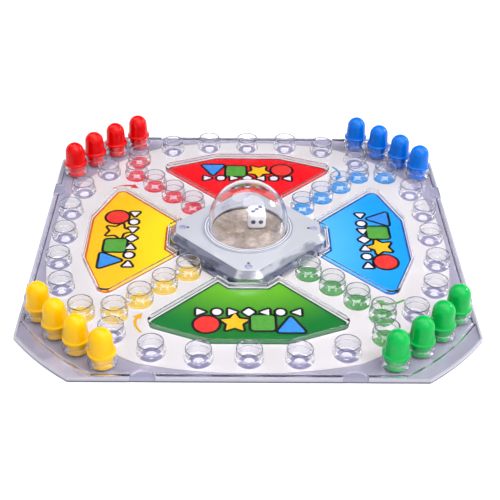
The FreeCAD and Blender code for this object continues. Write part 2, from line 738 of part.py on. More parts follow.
def make_popper_housing():
    body = new_body("popper_housing")
    foot = new_sketch(body, "popper_foot_plan", "XY_Plane", DECK_TOP)
    draw_outline(foot, diamond_corners(FOOT_FLAT, FOOT_REACH, "Dims.popper_round"))
    pad(body, "popper_foot", foot, "Dims.popper_foot_sheet")
    skirt_top = "(%s + Dims.popper_skirt)" % DECK_TOP
    bevel_height = "(Dims.popper_height - Dims.popper_skirt)"
    taper = "-atan(Dims.popper_bevel / %s)" % bevel_height
    popper_block(body, "popper_skirt", DECK_TOP, "0", "Dims.popper_skirt")
    popper_block(body, "popper_bevel", skirt_top, "0", bevel_height, taper)
    popper_circle(body, "popper_lip", PLATE_BASE, "(%s + Dims.lip_wall)" % FLANGE_HOLE,
                  "Dims.popper_shell + Dims.lip_height")
    popper_block(body, "popper_inner", DECK_TOP, "Dims.popper_shell", "Dims.popper_skirt",
                 cutting=True)
    popper_block(body, "popper_upper", skirt_top, "Dims.popper_shell",
                 "(%s - Dims.popper_shell)" % bevel_height, taper, cutting=True)
    popper_circle(body, "popper_flange_hole", DECK_TOP, FLANGE_HOLE, "Dims.popper_height",
                  cutting=True)
    popper_circle(body, "popper_mouth", DECK_TOP, "(Dims.dome_width / 2 + Dims.dome_gap)",
                  "Dims.cutter_reach", cutting=True)
    pilot = "Dims.screw_sink + Dims.screw_length + Dims.screw_tip_gap - %s" % DECK_TOP
    for turn in SCREW_TURNS:
        x, y = turned_point("Dims.boss_radius", str(turn))
        popper_circle(body, "popper_boss_%d" % turn, DECK_TOP, "Dims.boss_width / 2",
                      "Dims.popper_height", x, y)
        popper_circle(body, "popper_pilot_%d" % turn, DECK_TOP, SHANK_HOLE, pilot, x, y,
                      cutting=True)
    keep("popper_housing", body)


def circle_outline(sketch, radius, x="0", y="0"):
    """One circle with its centre and radius bound to expressions."""
    centre = FreeCAD.Vector(size(x), size(y), 0)
    circle = Part.Circle(centre, FreeCAD.Vector(0, 0, 1), size(radius))
    geometry = sketch.addGeometry(circle, False)
    rule = sketch.addConstraint(Sketcher.Constraint("Radius", geometry, size(radius)))
    sketch.setExpression("Constraints[%d]" % rule, radius)
    for kind, expression, value in (("DistanceX", x, centre.x), ("DistanceY", y, centre.y)):
        rule = sketch.addConstraint(Sketcher.Constraint(kind, -1, 1, geometry, 3, value))
        sketch.setExpression("Constraints[%d]" % rule, expression)


def make_popper_dome():
    outer = "(Dims.dome_width / 2)"
    inner = "(%s - Dims.dome_sheet)" % outer
    flange = "Dims.dome_flange / 2"
    keep("popper_dome", revolve_body("popper_dome", [
        (inner, FLANGE_BASE),
        (flange, FLANGE_BASE),
        (flange, FLANGE_TOP),
        (outer, FLANGE_TOP),
        (outer, DOME_CENTRE, outer, 1),
        ("0", "%s + %s" % (DOME_CENTRE, outer)),
        ("0", "%s + %s" % (DOME_CENTRE, inner), inner, -1),
        (inner, DOME_CENTRE),
    ]))


def make_die_floor():
    floor = cylinder("die_floor", "Dims.floor_width / 2", "Dims.floor_sheet", z=FLOOR_BASE)
    keep("die_floor", floor)


def make_popper_base():
    ring_inner = FLANGE_HOLE
    ring_outer = "(%s + Dims.ring_wall)" % FLANGE_HOLE
    ring_top = "%s - Dims.dome_gap" % PLATE_BASE
    striker = "(Dims.striker_width / 2)"
    striker_top = "%s - Dims.dome_travel - Dims.striker_gap" % FLOOR_BASE
    keep("popper_base", revolve_body("popper_base", [
        ("0", DECK_TOP),
        ("Dims.base_width / 2", DECK_TOP),
        ("Dims.base_width / 2", BASE_TOP),
        (ring_outer, BASE_TOP),
        (ring_outer, ring_top),
        (ring_inner, ring_top),
        (ring_inner, BASE_TOP),
        (striker, BASE_TOP),
        (striker, striker_top),
        ("0", striker_top),
    ]))


def make_snap_spring():
    """Two crossed leaves of spring steel, bowed up under the die floor."""
    rise = "(%s - Dims.spring_gap - %s)" % (FLOOR_BASE, BASE_TOP)
    half_span = "(Dims.spring_span / 2)"
    outer = "((%s ^ 2 + %s ^ 2) / (2 * %s))" % (half_span, rise, rise)
    inner = "(%s - Dims.spring_sheet)" % outer
    centre = "(%s + %s - %s)" % (BASE_TOP, rise, outer)
    foot = "sqrt(%s ^ 2 - (%s - %s) ^ 2)" % (inner, BASE_TOP, centre)
    bowl = revolve_body("snap_spring_bowl", [
        (foot, BASE_TOP),
        (half_span, BASE_TOP, outer, 1),
        ("0", "%s + %s" % (BASE_TOP, rise)),
        ("0", "%s + %s - Dims.spring_sheet" % (BASE_TOP, rise), inner, -1),
    ])
    leaves = []
    for name, long_side in (("across", True), ("along", False)):
        leaf = doc.addObject("Part::Box", "snap_spring_" + name)
        length = "Dims.spring_span" if long_side else "Dims.spring_leaf"
        width = "Dims.spring_leaf" if long_side else "Dims.spring_span"
        leaf.setExpression("Length", length)
        leaf.setExpression("Width", width)
        leaf.setExpression("Height", POPPER_TOP)
        leaves.append(place(leaf, "-%s / 2" % length, "-%s / 2" % width, "0"))
    cross = fuse("snap_spring_cross", leaves)
    keep("snap_spring", common("snap_spring", [bowl, cross]))


def make_popper_screws():
    screws = []
    head_base = "Dims.screw_sink"
    for turn in SCREW_TURNS:
        x, y = turned_point("Dims.boss_radius", str(turn))
        shank = cylinder("screw_shank_%d" % turn, "Dims.screw_shank / 2", "Dims.screw_length", x, y,
                         head_base)
        head = doc.addObject("Part::Cone", "screw_head_%d" % turn)
        head.setExpression("Radius1", "Dims.screw_head / 2")
        head.setExpression("Radius2", "Dims.screw_shank / 2")
        head.setExpression("Height", SINK_DEPTH)
        place(head, x, y, head_base)
        screws.append(fuse("screw_%d" % turn, [shank, head]))
    group("popper_screws", screws)


# ---------------------------------------------------------------- die

def pip_layout(count):
    """Places of a face's pips, in steps across and steps up from its middle."""
    layouts = {
        1: [(0, 0)],
        2: [(-1, 0), (1, 0)],
        3: [(-1, -1), (0, 0), (1, 1)],
        4: [(-1, -1), (-1, 1), (1, -1), (1, 1)],
        5: [(-1, -1), (-1, 1), (1, -1), (1, 1), (0, 0)],
        6: [(-1, -1), (-1, 1), (1, -1), (1, 1), (-1, 0), (1, 0)],
    }
    return layouts[count]


DIE_FACES = {
    1: ((-1, 0, 0), (0, -1, 0), (0, 0, 1)),
    2: ((0, -1, 0), (1, 0, 0), (0, 0, 1)),
    3: ((0, 0, 1), (1, 0, 0), (0, 1, 0)),
    4: ((0, 0, -1), (1, 0, 0), (0, 1, 0)),
    5: ((0, 1, 0), (1, 0, 0), (0, 0, 1)),
    6: ((1, 0, 0), (0, 1, 0), (0, 0, 1)),
}


ROW_FACE = 6


def make_die():
    block = doc.addObject("Part::Box", "die_block")
    for side in ("Length", "Width", "Height"):
        block.setExpression(side, "Dims.die_size")
    place(block, "-Dims.die_size / 2", "-Dims.die_size / 2", "-Dims.die_size / 2")
    doc.recompute()
    rounded = doc.addObject("Part::Fillet", "die_rounded")
    rounded.Base = block
    radius = size("Dims.die_round")
    rounded.Edges = [(number, radius, radius) for number in range(1, len(block.Shape.Edges) + 1)]
    reach = "(Dims.die_size / 2 + Dims.pip_ball - Dims.pip_depth)"
    hollows = []
    for count, (normal, across, up) in DIE_FACES.items():
        step_up_size = "Dims.pip_row_step" if count == ROW_FACE else "Dims.pip_step"
        for number, (step_across, step_up) in enumerate(pip_layout(count)):
            ball = doc.addObject("Part::Sphere", "die_pip_%d_%d" % (count, number))
            ball.setExpression("Radius", "Dims.pip_ball")
            where = []
            for axis in range(3):
                where.append("%d * %s + (%d) * Dims.pip_step + (%d) * %s" % (
                    normal[axis], reach, step_across * across[axis], step_up * up[axis],
                    step_up_size))
            hollows.append(place(ball, *where))
    die = cut("die", rounded, fuse("die_hollows", hollows))
    keep("die", place(die, "Dims.die_right", "Dims.die_back",
                      "%s + Dims.floor_sheet + Dims.die_size / 2" % FLOOR_BASE, "Dims.die_turn"))


# ---------------------------------------------------------------- build, check, write

make_base_tray()
make_snap_clips()
make_printed_card()
make_top_deck()
make_rim_bead()
make_sockets()
make_windows()
make_popper_housing()
make_popper_dome()
make_die_floor()
make_popper_base()
make_snap_spring()
make_popper_screws()
make_die()
make_pegs()
doc.recompute()

for item in doc.Objects:
    if "Invalid" in item.State or "Error" in item.State:
        raise RuntimeError("%s did not build: %s" % (item.Label, item.State))
for node, item in nodes.items():
    if item.Shape.isNull() or not item.Shape.isValid() or not item.Shape.Solids:
        raise RuntimeError("%s has no valid solid" % node)

os.makedirs("parts", exist_ok=True)
for node, item in nodes.items():
    item.Shape.exportStep("parts/%s.step" % node)
    box = item.Shape.BoundBox
    print("%-22s solids %2d  volume %9.1f  x %7.1f %7.1f  y %7.1f %7.1f  z %6.2f %6.2f" % (
        node, len(item.Shape.Solids), item.Shape.Volume, box.XMin, box.XMax, box.YMin, box.YMax,
        box.ZMin, box.ZMax))
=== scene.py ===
"""Pop-up dice board game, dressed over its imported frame.

Metres, +Z up, the front edge at -Y. The red corner is at the back left, blue at the back
right, green at the front right and yellow at the front left. Sizes written with MM are in
metres. Plans, and the plain numbers that they are drawn from, are in millimetres.
"""
from __future__ import annotations

import json
import logging
import math
from collections.abc import Iterable, Sequence
from dataclasses import dataclass
from enum import Enum
from typing import Any

import bmesh
import bpy
from mathutils import Matrix, Vector

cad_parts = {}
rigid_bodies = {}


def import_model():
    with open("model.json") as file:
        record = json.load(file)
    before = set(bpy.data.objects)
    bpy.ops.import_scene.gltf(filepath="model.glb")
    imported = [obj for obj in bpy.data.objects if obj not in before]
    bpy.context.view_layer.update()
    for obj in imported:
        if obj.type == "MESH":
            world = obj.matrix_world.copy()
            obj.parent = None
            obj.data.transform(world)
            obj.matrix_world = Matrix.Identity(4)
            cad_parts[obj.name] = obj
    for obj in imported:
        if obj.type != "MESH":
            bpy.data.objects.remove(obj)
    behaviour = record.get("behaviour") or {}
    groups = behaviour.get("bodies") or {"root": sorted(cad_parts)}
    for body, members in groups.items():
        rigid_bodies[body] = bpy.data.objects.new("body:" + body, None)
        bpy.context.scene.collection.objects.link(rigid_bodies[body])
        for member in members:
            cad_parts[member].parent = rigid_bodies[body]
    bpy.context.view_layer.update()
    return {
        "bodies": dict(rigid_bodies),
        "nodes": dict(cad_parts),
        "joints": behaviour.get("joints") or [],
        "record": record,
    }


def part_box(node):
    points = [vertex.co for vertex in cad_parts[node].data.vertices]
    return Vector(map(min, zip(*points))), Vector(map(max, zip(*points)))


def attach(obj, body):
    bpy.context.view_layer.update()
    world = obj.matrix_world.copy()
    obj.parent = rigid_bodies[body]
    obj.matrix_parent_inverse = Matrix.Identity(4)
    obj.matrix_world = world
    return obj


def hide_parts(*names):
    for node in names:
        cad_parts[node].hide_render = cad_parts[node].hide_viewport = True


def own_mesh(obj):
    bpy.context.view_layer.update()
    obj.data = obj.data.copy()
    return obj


log = logging.getLogger("pop_up_dice_game")

MM = 0.001
UP = Vector((0, 0, 1))

Point = tuple[float, float]
Span = tuple[float, float]
Place = tuple[float, float, float]
Colour = tuple[float, float, float, float]
Rgb = tuple[int, int, int]

WHITE: Colour = (1.0, 1.0, 1.0, 1.0)


def ink(red: int, green: int, blue: int) -> Colour:
    """Linear colour of an 8-bit one.

    Args:
        red: Red, 0 to 255.
        green: Green, 0 to 255.
        blue: Blue, 0 to 255.

    Returns:
        The colour as shaders take it, with an alpha of 1.
    """
    def part(value: int) -> float:
        """One channel, with the display curve taken off."""
        share = value / 255
        return share / 12.92 if share <= 0.04045 else ((share + 0.055) / 1.055) ** 2.4

    return part(red), part(green), part(blue), 1.0


class Team(Enum):
    """The four players' colours, each with its corner's turn from the front right one."""

    GREEN = 0
    BLUE = 1
    RED = 2
    YELLOW = 3

    @property
    def key(self) -> str:
        """Name of the colour as the nodes have it."""
        return self.name.lower()

    @property
    def side(self) -> str:
        """Side of the board that this colour's window lies on."""
        return ("front", "right", "back", "left")[self.value]

    def turned(self, x: float, y: float) -> Point:
        """A point of the front right corner or front side, turned to this colour's own."""
        for _ in range(self.value):
            x, y = -y, x
        return x, y


# ------------------------------------------------------------------ node trees


@dataclass(frozen=True)
class Signal:
    """A shader socket's value. Arithmetic on it adds Math nodes."""

    web: ShaderWeb
    socket: bpy.types.NodeSocket

    def __add__(self, other: Any) -> Signal:
        """Sum."""
        return self.web.math("ADD", self, other)

    def __radd__(self, other: Any) -> Signal:
        """Sum, from the right."""
        return self.web.math("ADD", other, self)

    def __sub__(self, other: Any) -> Signal:
        """Difference."""
        return self.web.math("SUBTRACT", self, other)

    def __rsub__(self, other: Any) -> Signal:
        """Difference, from the right."""
        return self.web.math("SUBTRACT", other, self)

    def __mul__(self, other: Any) -> Signal:
        """Product."""
        return self.web.math("MULTIPLY", self, other)

    def __rmul__(self, other: Any) -> Signal:
        """Product, from the right."""
        return self.web.math("MULTIPLY", other, self)

    def __pow__(self, other: Any) -> Signal:
        """Power."""
        return self.web.math("POWER", self, other)


class NodeWeb:
    """Node tree that is filled node by node."""

    def __init__(self, tree: bpy.types.NodeTree) -> None:
        """Take up a tree.

        Args:
            tree: The tree, empty.
        """
        self.tree = tree

    def node(self, kind: str, settings: dict[str, Any] | None = None,
             sockets: dict[Any, Any] | None = None) -> bpy.types.Node:
        """Add one node.

        Args:
            kind: The node's type.
            settings: Its own settings; "stops" holds a ramp's places and colours.
            sockets: Values or links of its inputs, by name or number.

        Returns:
            The node.
        """
        made = self.tree.nodes.new(kind)
        for name, value in (settings or {}).items():
            if name == "stops":
                elements = made.color_ramp.elements
                while len(elements) < len(value):
                    elements.new(0.5)
                for element, (place, colour) in zip(elements, value):
                    element.position = place
                    element.color = colour
            else:
                setattr(made, name, value)
        for name, value in (sockets or {}).items():
            if isinstance(value, Signal):
                value = value.socket
            if isinstance(value, bpy.types.NodeSocket):
                self.tree.links.new(value, made.inputs[name])
            else:
                made.inputs[name].default_value = value
        return made


class ShaderWeb(NodeWeb):
    """Shader tree of a material or of the world."""

    # A Mix node names its sockets alike for each kind of value: these hold its colours.
    mix_first, mix_second, mix_result = 6, 7, 2
    # A clear face mirrors this share face on, and more by this power of its slant.
    clear_gloss, gloss_power = 0.035, 5

    def __init__(self, owner: bpy.types.Material | bpy.types.World) -> None:
        """Start the owner's tree with no nodes.

        Args:
            owner: The material or the world.
        """
        owner.use_nodes = True
        super().__init__(owner.node_tree)
        self.tree.nodes.clear()
        self.owner = owner

    def math(self, operation: str, *values: Any) -> Signal:
        """Math node of signals and numbers."""
        made = self.node("ShaderNodeMath", {"operation": operation},
                         dict(enumerate(values)))
        return Signal(self, made.outputs[0])

    def place(self) -> Signal:
        """The piece's own coordinates."""
        return Signal(self, self.node("ShaderNodeTexCoord").outputs["Object"])

    def along(self, axis: int) -> Signal:
        """One of the piece's own coordinates, in metres."""
        parts = self.node("ShaderNodeSeparateXYZ", None, {0: self.place()})
        return Signal(self, parts.outputs[axis])

    def height(self) -> Signal:
        """Height over the table, in metres."""
        return self.along(2)

    def reach(self) -> Signal:
        """Distance from the board's upright middle axis, in metres."""
        x, y = self.along(0), self.along(1)
        return self.math("SQRT", x * x + y * y)

    def span(self) -> Signal:
        """Distance from the middle towards the nearer side of the board, in metres."""
        x, y = (self.math("ABSOLUTE", self.along(axis)) for axis in (0, 1))
        return self.math("MAXIMUM", x, y)

    def noise(self, scale: float, detail: float = 2.0, roughness: float = 0.5,
              stretch: Place = (1, 1, 1)) -> Signal:
        """Noise over the piece, 0 to 1.

        Args:
            scale: Features per metre.
            detail: Octaves.
            roughness: Share of the finer octaves.
            stretch: Scale of the coordinates along each axis.

        Returns:
            The noise's value.
        """
        spot = self.node("ShaderNodeMapping", None, {
            "Vector": self.place(), "Scale": stretch})
        made = self.node("ShaderNodeTexNoise", None, {
            "Vector": spot.outputs[0], "Scale": scale, "Detail": detail,
            "Roughness": roughness})
        return Signal(self, made.outputs[0])

    def ease(self, value: Signal, rise: Span) -> Signal:
        """Smooth step of a value, from 0 at the rise's start to 1 at its end."""
        made = self.node("ShaderNodeMapRange", {"interpolation_type": "SMOOTHSTEP"}, {
            "Value": value, "From Min": rise[0], "From Max": rise[1]})
        return Signal(self, made.outputs[0])

    def blend(self, share: Any, first: Any, second: Any) -> Signal:
        """Mix of two colours."""
        made = self.node("ShaderNodeMix", {"data_type": "RGBA"}, {
            "Factor": share, self.mix_first: first, self.mix_second: second})
        return Signal(self, made.outputs[self.mix_result])

    def bump(self, relief: Signal, depth: float, strength: float = 1.0) -> Signal:
        """Normal from a relief of the given depth in metres."""
        made = self.node("ShaderNodeBump", None, {
            "Height": relief, "Distance": depth, "Strength": strength})
        return Signal(self, made.outputs[0])

    def slant(self) -> Signal:
        """How far a clear face turns away, 0 face on to 1 at its rim."""
        weight = self.node("ShaderNodeLayerWeight", None, {"Blend": 0.5})
        return Signal(self, weight.outputs["Facing"])

    def gloss(self) -> Signal:
        """Share of light that a clear face mirrors, up to all at its rim."""
        return self.clear_gloss + (1 - self.clear_gloss) * self.slant() ** self.gloss_power

    def seen(self) -> Signal:
        """Mask of what is looked at, as against what a surface lights.

        Returns:
            One where the eye, gloss or clear plastic meets the surface, 0 elsewhere.
        """
        path = self.node("ShaderNodeLightPath").outputs
        sharp = self.math("MAXIMUM", path["Is Glossy Ray"], path["Is Transmission Ray"])
        return self.math("MAXIMUM", path["Is Camera Ray"], sharp)

    def see_through(self, tint: Colour) -> bpy.types.NodeSocket:
        """Shader that lets light through unbent."""
        return self.node("ShaderNodeBsdfTransparent", None, {"Color": tint}).outputs[0]

    def coated(self, sockets: dict[str, Any]) -> bpy.types.NodeSocket:
        """Principled shader with the given inputs."""
        return self.node("ShaderNodeBsdfPrincipled", None, sockets).outputs[0]

    def mixed(self, share: Any, first: Any, second: Any) -> bpy.types.NodeSocket:
        """Mix of two shaders."""
        return self.node("ShaderNodeMixShader", None, {
            0: share, 1: first, 2: second}).outputs[0]

    def finished(self, shader: bpy.types.NodeSocket
                 ) -> bpy.types.Material | bpy.types.World:
        """Close the tree with its output.

        Args:
            shader: What the surface or the sky shows.

        Returns:
            The material or the world.
        """
        kind = "World" if isinstance(self.owner, bpy.types.World) else "Material"
        self.node("ShaderNodeOutput" + kind, None, {"Surface": shader})
        return self.owner


# ------------------------------------------------------------------ finishes


@dataclass(frozen=True)
class Finish:
    """A surface finish that is made once and shared."""

    name: str

    def material(self) -> bpy.types.Material:
        """The finish's material, made on first use."""
        known = bpy.data.materials.get(self.name)
        return known or self.build(ShaderWeb(bpy.data.materials.new(self.name)))

    def build(self, web: ShaderWeb) -> bpy.types.Material:
        """Build the node tree.

        Args:
            web: The empty tree to fill.

        Returns:
            The finished material.
        """
        raise NotImplementedError


@dataclass(frozen=True)
class Patches:
    """Soft patches: where a noise over the piece passes through a rise of its values."""

    scale: float
    rise: Span
    detail: float = 3.0
    roughness: float = 0.5
    stretch: Place = (1, 1, 1)

    def over(self, web: ShaderWeb) -> Signal:
        """The patches as a signal, 0 between them to 1 on them."""
        noise = web.noise(self.scale, self.detail, self.roughness, self.stretch)
        return web.ease(noise, self.rise)


@dataclass(frozen=True)
class ClearPlastic(Finish):
    """Clear moulded plastic with painted shade at its rims; a thin wall has a low bend and
    keeps its gloss by a coat.
    """

    tint: Colour = ink(251, 251, 253)
    # The second colour is painted shade, blended in where the face turns away from the eye.
    rim: Colour = ink(72, 74, 94)
    rim_fall: float = 5.0
    bend: float = 1.47
    coat: float = 0.0
    roughness: float = 0.02
    wave_scale: float = 70.0
    wave_depth: float = 0.05 * MM

    def build(self, web: ShaderWeb) -> bpy.types.Material:
        """Glass-like plastic that lets lamps through, with painted shade that darkens its
        colour towards the rims.

        Args:
            web: The empty tree to fill.

        Returns:
            The finished material.
        """
        body = web.coated({
            # Painted rim shade: the colour darkens towards the rims by the slant.
            "Base Color": web.blend(web.slant() ** self.rim_fall, self.tint, self.rim),
            "Roughness": self.roughness, "IOR": self.bend, "Transmission Weight": 1.0,
            "Coat Weight": self.coat, "Coat Roughness": 0.02,
            "Normal": web.bump(web.noise(self.wave_scale, detail=1.0), self.wave_depth)})
        path = web.node("ShaderNodeLightPath").outputs
        clear = web.see_through(self.tint)
        return web.finished(web.mixed(path["Is Shadow Ray"], body, clear))


@dataclass(frozen=True)
class ClearSheet(Finish):
    """Thin clear sheet: what lies under it shows unbent, under a film of gloss."""

    tint: Colour = ink(248, 247, 249)
    film: Colour = ink(250, 250, 253)
    roughness: float = 0.04
    wave_scale: float = 45.0
    wave_depth: float = 0.02 * MM

    def build(self, web: ShaderWeb) -> bpy.types.Material:
        """See-through sheet with its gloss by angle.

        Args:
            web: The empty tree to fill.

        Returns:
            The finished material.
        """
        film = web.node("ShaderNodeBsdfGlossy", None, {
            "Color": self.film, "Roughness": self.roughness,
            "Normal": web.bump(web.noise(self.wave_scale, detail=1.0), self.wave_depth)})
        clear = web.see_through(self.tint)
        return web.finished(web.mixed(web.gloss(), clear, film.outputs[0]))


@dataclass(frozen=True)
class MouldedPlastic(Finish):
    """Coloured moulded plastic with a soft gloss and faint flow marks."""

    colour: Colour = ink(230, 230, 230)
    shade: Colour = ink(200, 200, 200)
    roughness: float = 0.2
    coat: float = 0.4
    glow: float = 0.0
    gloss: float = 0.5
    flow_scale: float = 90.0
    flow_rise: Span = (0.3, 0.8)
    flow_share: float = 0.35
    grain_scale: float = 1400.0
    grain_roughness: float = 0.06
    grain_share: float = 0.2
    relief: float = 0.02 * MM

    def tone(self, web: ShaderWeb, flow: Signal) -> Signal:
        """Colour over the piece, from its flow marks."""
        return web.blend(web.ease(flow, self.flow_rise) * self.flow_share, self.colour,
                         self.shade)

    def build(self, web: ShaderWeb) -> bpy.types.Material:
        """Opaque plastic.

        Args:
            web: The empty tree to fill.

        Returns:
            The finished material.
        """
        flow = web.noise(self.flow_scale, detail=3.0)
        grain = web.noise(self.grain_scale)
        return web.finished(web.coated({
            "Base Color": self.tone(web, flow),
            "Roughness": self.roughness + grain * self.grain_roughness,
            "Specular IOR Level": self.gloss,
            "Coat Weight": self.coat, "Coat Roughness": 0.05,
            "Subsurface Weight": self.glow, "Subsurface Radius": (0.9, 0.5, 0.3),
            "Subsurface Scale": 3 * MM,
            "Normal": web.bump(flow + grain * self.grain_share, self.relief,
                               strength=0.5)}))


@dataclass(frozen=True)
class TrayPlastic(MouldedPlastic):
    """Moulded plastic with painted shade: a dark line round the foot of the tray's edge."""

    # The foot colour is painted shade, for the line round the foot of the tray's edge.
    foot: Colour = ink(70, 72, 88)
    foot_rise: Span = (0.7 * MM, 1.1 * MM)
    side: float = 133.6 * MM
    corner: float = 166.1 * MM

    def tone(self, web: ShaderWeb, flow: Signal) -> Signal:
        """Flow-marked colour, with painted shade at the foot of the edge.

        Args:
            web: The material's tree.
            flow: The flow marks, 0 to 1.

        Returns:
            The colour.
        """
        # Painted shade, low on the outer edge only.
        low = 1 - web.ease(web.height(), self.foot_rise)
        edge = web.math("MAXIMUM", web.math("GREATER_THAN", web.span(), self.side),
                        web.math("GREATER_THAN", web.reach(), self.corner))
        return web.blend(low * edge, super().tone(web, flow), self.foot)


@dataclass(frozen=True)
class PegPlastic(MouldedPlastic):
    """Smooth bright plastic of the pegs, through which a little light passes."""

    roughness: float = 0.05
    coat: float = 0.0
    glow: float = 0.02
    gloss: float = 0.22


@dataclass(frozen=True)
class GreyHousing(Finish):
    """Silver-grey plastic: pearly top, a metallic bevel with painted dark reflection
    patches, and a skirt with painted reflection streaks and painted highlights.
    """

    colour: Colour = ink(206, 208, 216)
    depth: Colour = ink(166, 169, 184)
    # The next three colours are painted light: a dark reflection, a highlight and the shade
    # in the lip's grooves.
    streak: Colour = ink(46, 52, 92)
    glint: Colour = ink(238, 240, 250)
    groove_shade: Colour = ink(128, 130, 148)
    skirt: Span = (5.4 * MM, 6.9 * MM)
    plate: Span = (10.7 * MM, 11.05 * MM)
    lip: Span = (11.2 * MM, 11.3 * MM)
    groove_step: float = 1.75 * MM
    groove_rise: Span = (0.0, 0.8)
    groove_share: float = 0.8
    ridge_rise: Span = (0.2, 0.9)
    ridge_share: float = 0.7
    # Where the painted dark streaks, painted highlights and painted bevel reflections fall.
    streaks: Patches = Patches(90.0, (0.52, 0.6), roughness=0.6, stretch=(1, 1, 5))
    streak_share: float = 0.75
    glints: Patches = Patches(150.0, (0.6, 0.68), 2.0, roughness=0.6, stretch=(1, 1, 3))
    glint_share: float = 0.8
    mirrored: Patches = Patches(44.0, (0.5, 0.6), 2.0, stretch=(1, 1, 3))
    mirrored_share: float = 0.5
    flow_scale: float = 60.0
    pearl_share: float = 0.3
    metal: float = 0.12
    bevel_metal: float = 0.68
    roughness: float = 0.14
    flow_roughness: float = 0.12
    relief: float = 0.08 * MM

    def build(self, web: ShaderWeb) -> bpy.types.Material:
        """Pearly top, metallic bevel with painted dark reflections, painted streaks and
        highlights low down, and rings on the lip with painted shade in the grooves and
        painted highlights on the ridges.

        Args:
            web: The empty tree to fill.

        Returns:
            The finished material.
        """
        low = 1 - web.ease(web.height(), self.skirt)
        bevel = 1 - web.ease(web.height(), self.plate)
        lip = web.ease(web.height(), self.lip)
        wave = web.math("SINE", web.reach() * (math.tau / self.groove_step))
        flow = web.noise(self.flow_scale, detail=3.0)
        # Skirt: painted dark reflection streaks and painted highlights over its grey.
        skirt_painted_light = web.blend(self.streaks.over(web) * self.streak_share, self.depth,
                          self.streak)
        skirt_painted_light = web.blend(self.glints.over(web) * self.glint_share, skirt_painted_light, self.glint)
        pearl = web.blend(flow * self.pearl_share, self.colour, self.depth)
        # Bevel: painted dark reflection patches over the pearly tone.
        mirrored = bevel * self.mirrored.over(web) * self.mirrored_share
        tone = web.blend(low, web.blend(mirrored, pearl, self.streak), skirt_painted_light)
        # Lip: painted shade in the grooves and painted highlights on the ridges.
        groove_painted_shade = lip * web.ease(wave, self.groove_rise) * self.groove_share
        ridge_painted_highlight = lip * web.ease(0 - wave, self.ridge_rise) * self.ridge_share
        tone = web.blend(ridge_painted_highlight, web.blend(groove_painted_shade, tone, self.groove_shade), self.glint)
        return web.finished(web.coated({
            "Base Color": tone, "Metallic": self.metal + bevel * self.bevel_metal,
            "Roughness": self.roughness + flow * self.flow_roughness,
            "Coat Weight": 0.6, "Coat Roughness": 0.03,
            "Normal": web.bump(flow + lip * wave * 2, self.relief, strength=0.5)}))


@dataclass(frozen=True)
class PrintedCard(Finish):
    """White printed card with the faint warmth and tooth of its sheet."""

    colour: Colour = ink(242, 241, 237)
    shade: Colour = ink(234, 232, 227)
    clouds: Patches = Patches(18.0, (0.35, 0.75))
    tooth_scale: float = 2600.0
    tooth_roughness: float = 0.12
    roughness: float = 0.42
    relief: float = 0.01 * MM

    def build(self, web: ShaderWeb) -> bpy.types.Material:
        """Satin card."""
        tooth = web.noise(self.tooth_scale)
        return web.finished(web.coated({
            "Base Color": web.blend(self.clouds.over(web), self.colour, self.shade),
            "Roughness": self.roughness + tooth * self.tooth_roughness,
            "Normal": web.bump(tooth, self.relief, strength=0.4)}))


@dataclass(frozen=True)
class PrintedPanel(Finish):
    """Panel printed in one colour that turns from light at the popper to deep outside."""

    inner: Colour = ink(200, 200, 200)
    outer: Colour = ink(100, 100, 100)
    fade: Span = (44.0 * MM, 98.0 * MM)
    cloud_scale: float = 25.0
    cloud_share: float = 0.12
    tooth_scale: float = 2200.0
    tooth_roughness: float = 0.1
    roughness: float = 0.32
    relief: float = 0.008 * MM

    def build(self, web: ShaderWeb) -> bpy.types.Material:
        """Printed colour by distance from the popper.

        Args:
            web: The empty tree to fill.

        Returns:
            The finished material.
        """
        outwards = web.ease(web.reach(), self.fade)
        cloud = (web.noise(self.cloud_scale) - 0.5) * self.cloud_share
        tooth = web.noise(self.tooth_scale)
        return web.finished(web.coated({
            "Base Color": web.blend(outwards + cloud, self.inner, self.outer),
            "Roughness": self.roughness + tooth * self.tooth_roughness,
            "Specular IOR Level": 0.35,
            "Normal": web.bump(tooth, self.relief, strength=0.4)}))


@dataclass(frozen=True)
class PrintInk(Finish):
    """Flat printed ink with its slight mottling."""

    colour: Colour = ink(0, 0, 0)
    shade: Colour = ink(20, 20, 20)
    mottle_scale: float = 400.0
    mottle_rise: Span = (0.35, 0.7)
    mottle_roughness: float = 0.1
    roughness: float = 0.4
    relief: float = 0.006 * MM

    def build(self, web: ShaderWeb) -> bpy.types.Material:
        """Satin ink."""
        mottle = web.noise(self.mottle_scale, detail=3.0)
        return web.finished(web.coated({
            "Base Color": web.blend(web.ease(mottle, self.mottle_rise), self.colour,
                                    self.shade),
            "Roughness": self.roughness + mottle * self.mottle_roughness,
            "Specular IOR Level": 0.3,
            "Normal": web.bump(mottle, self.relief, strength=0.4)}))


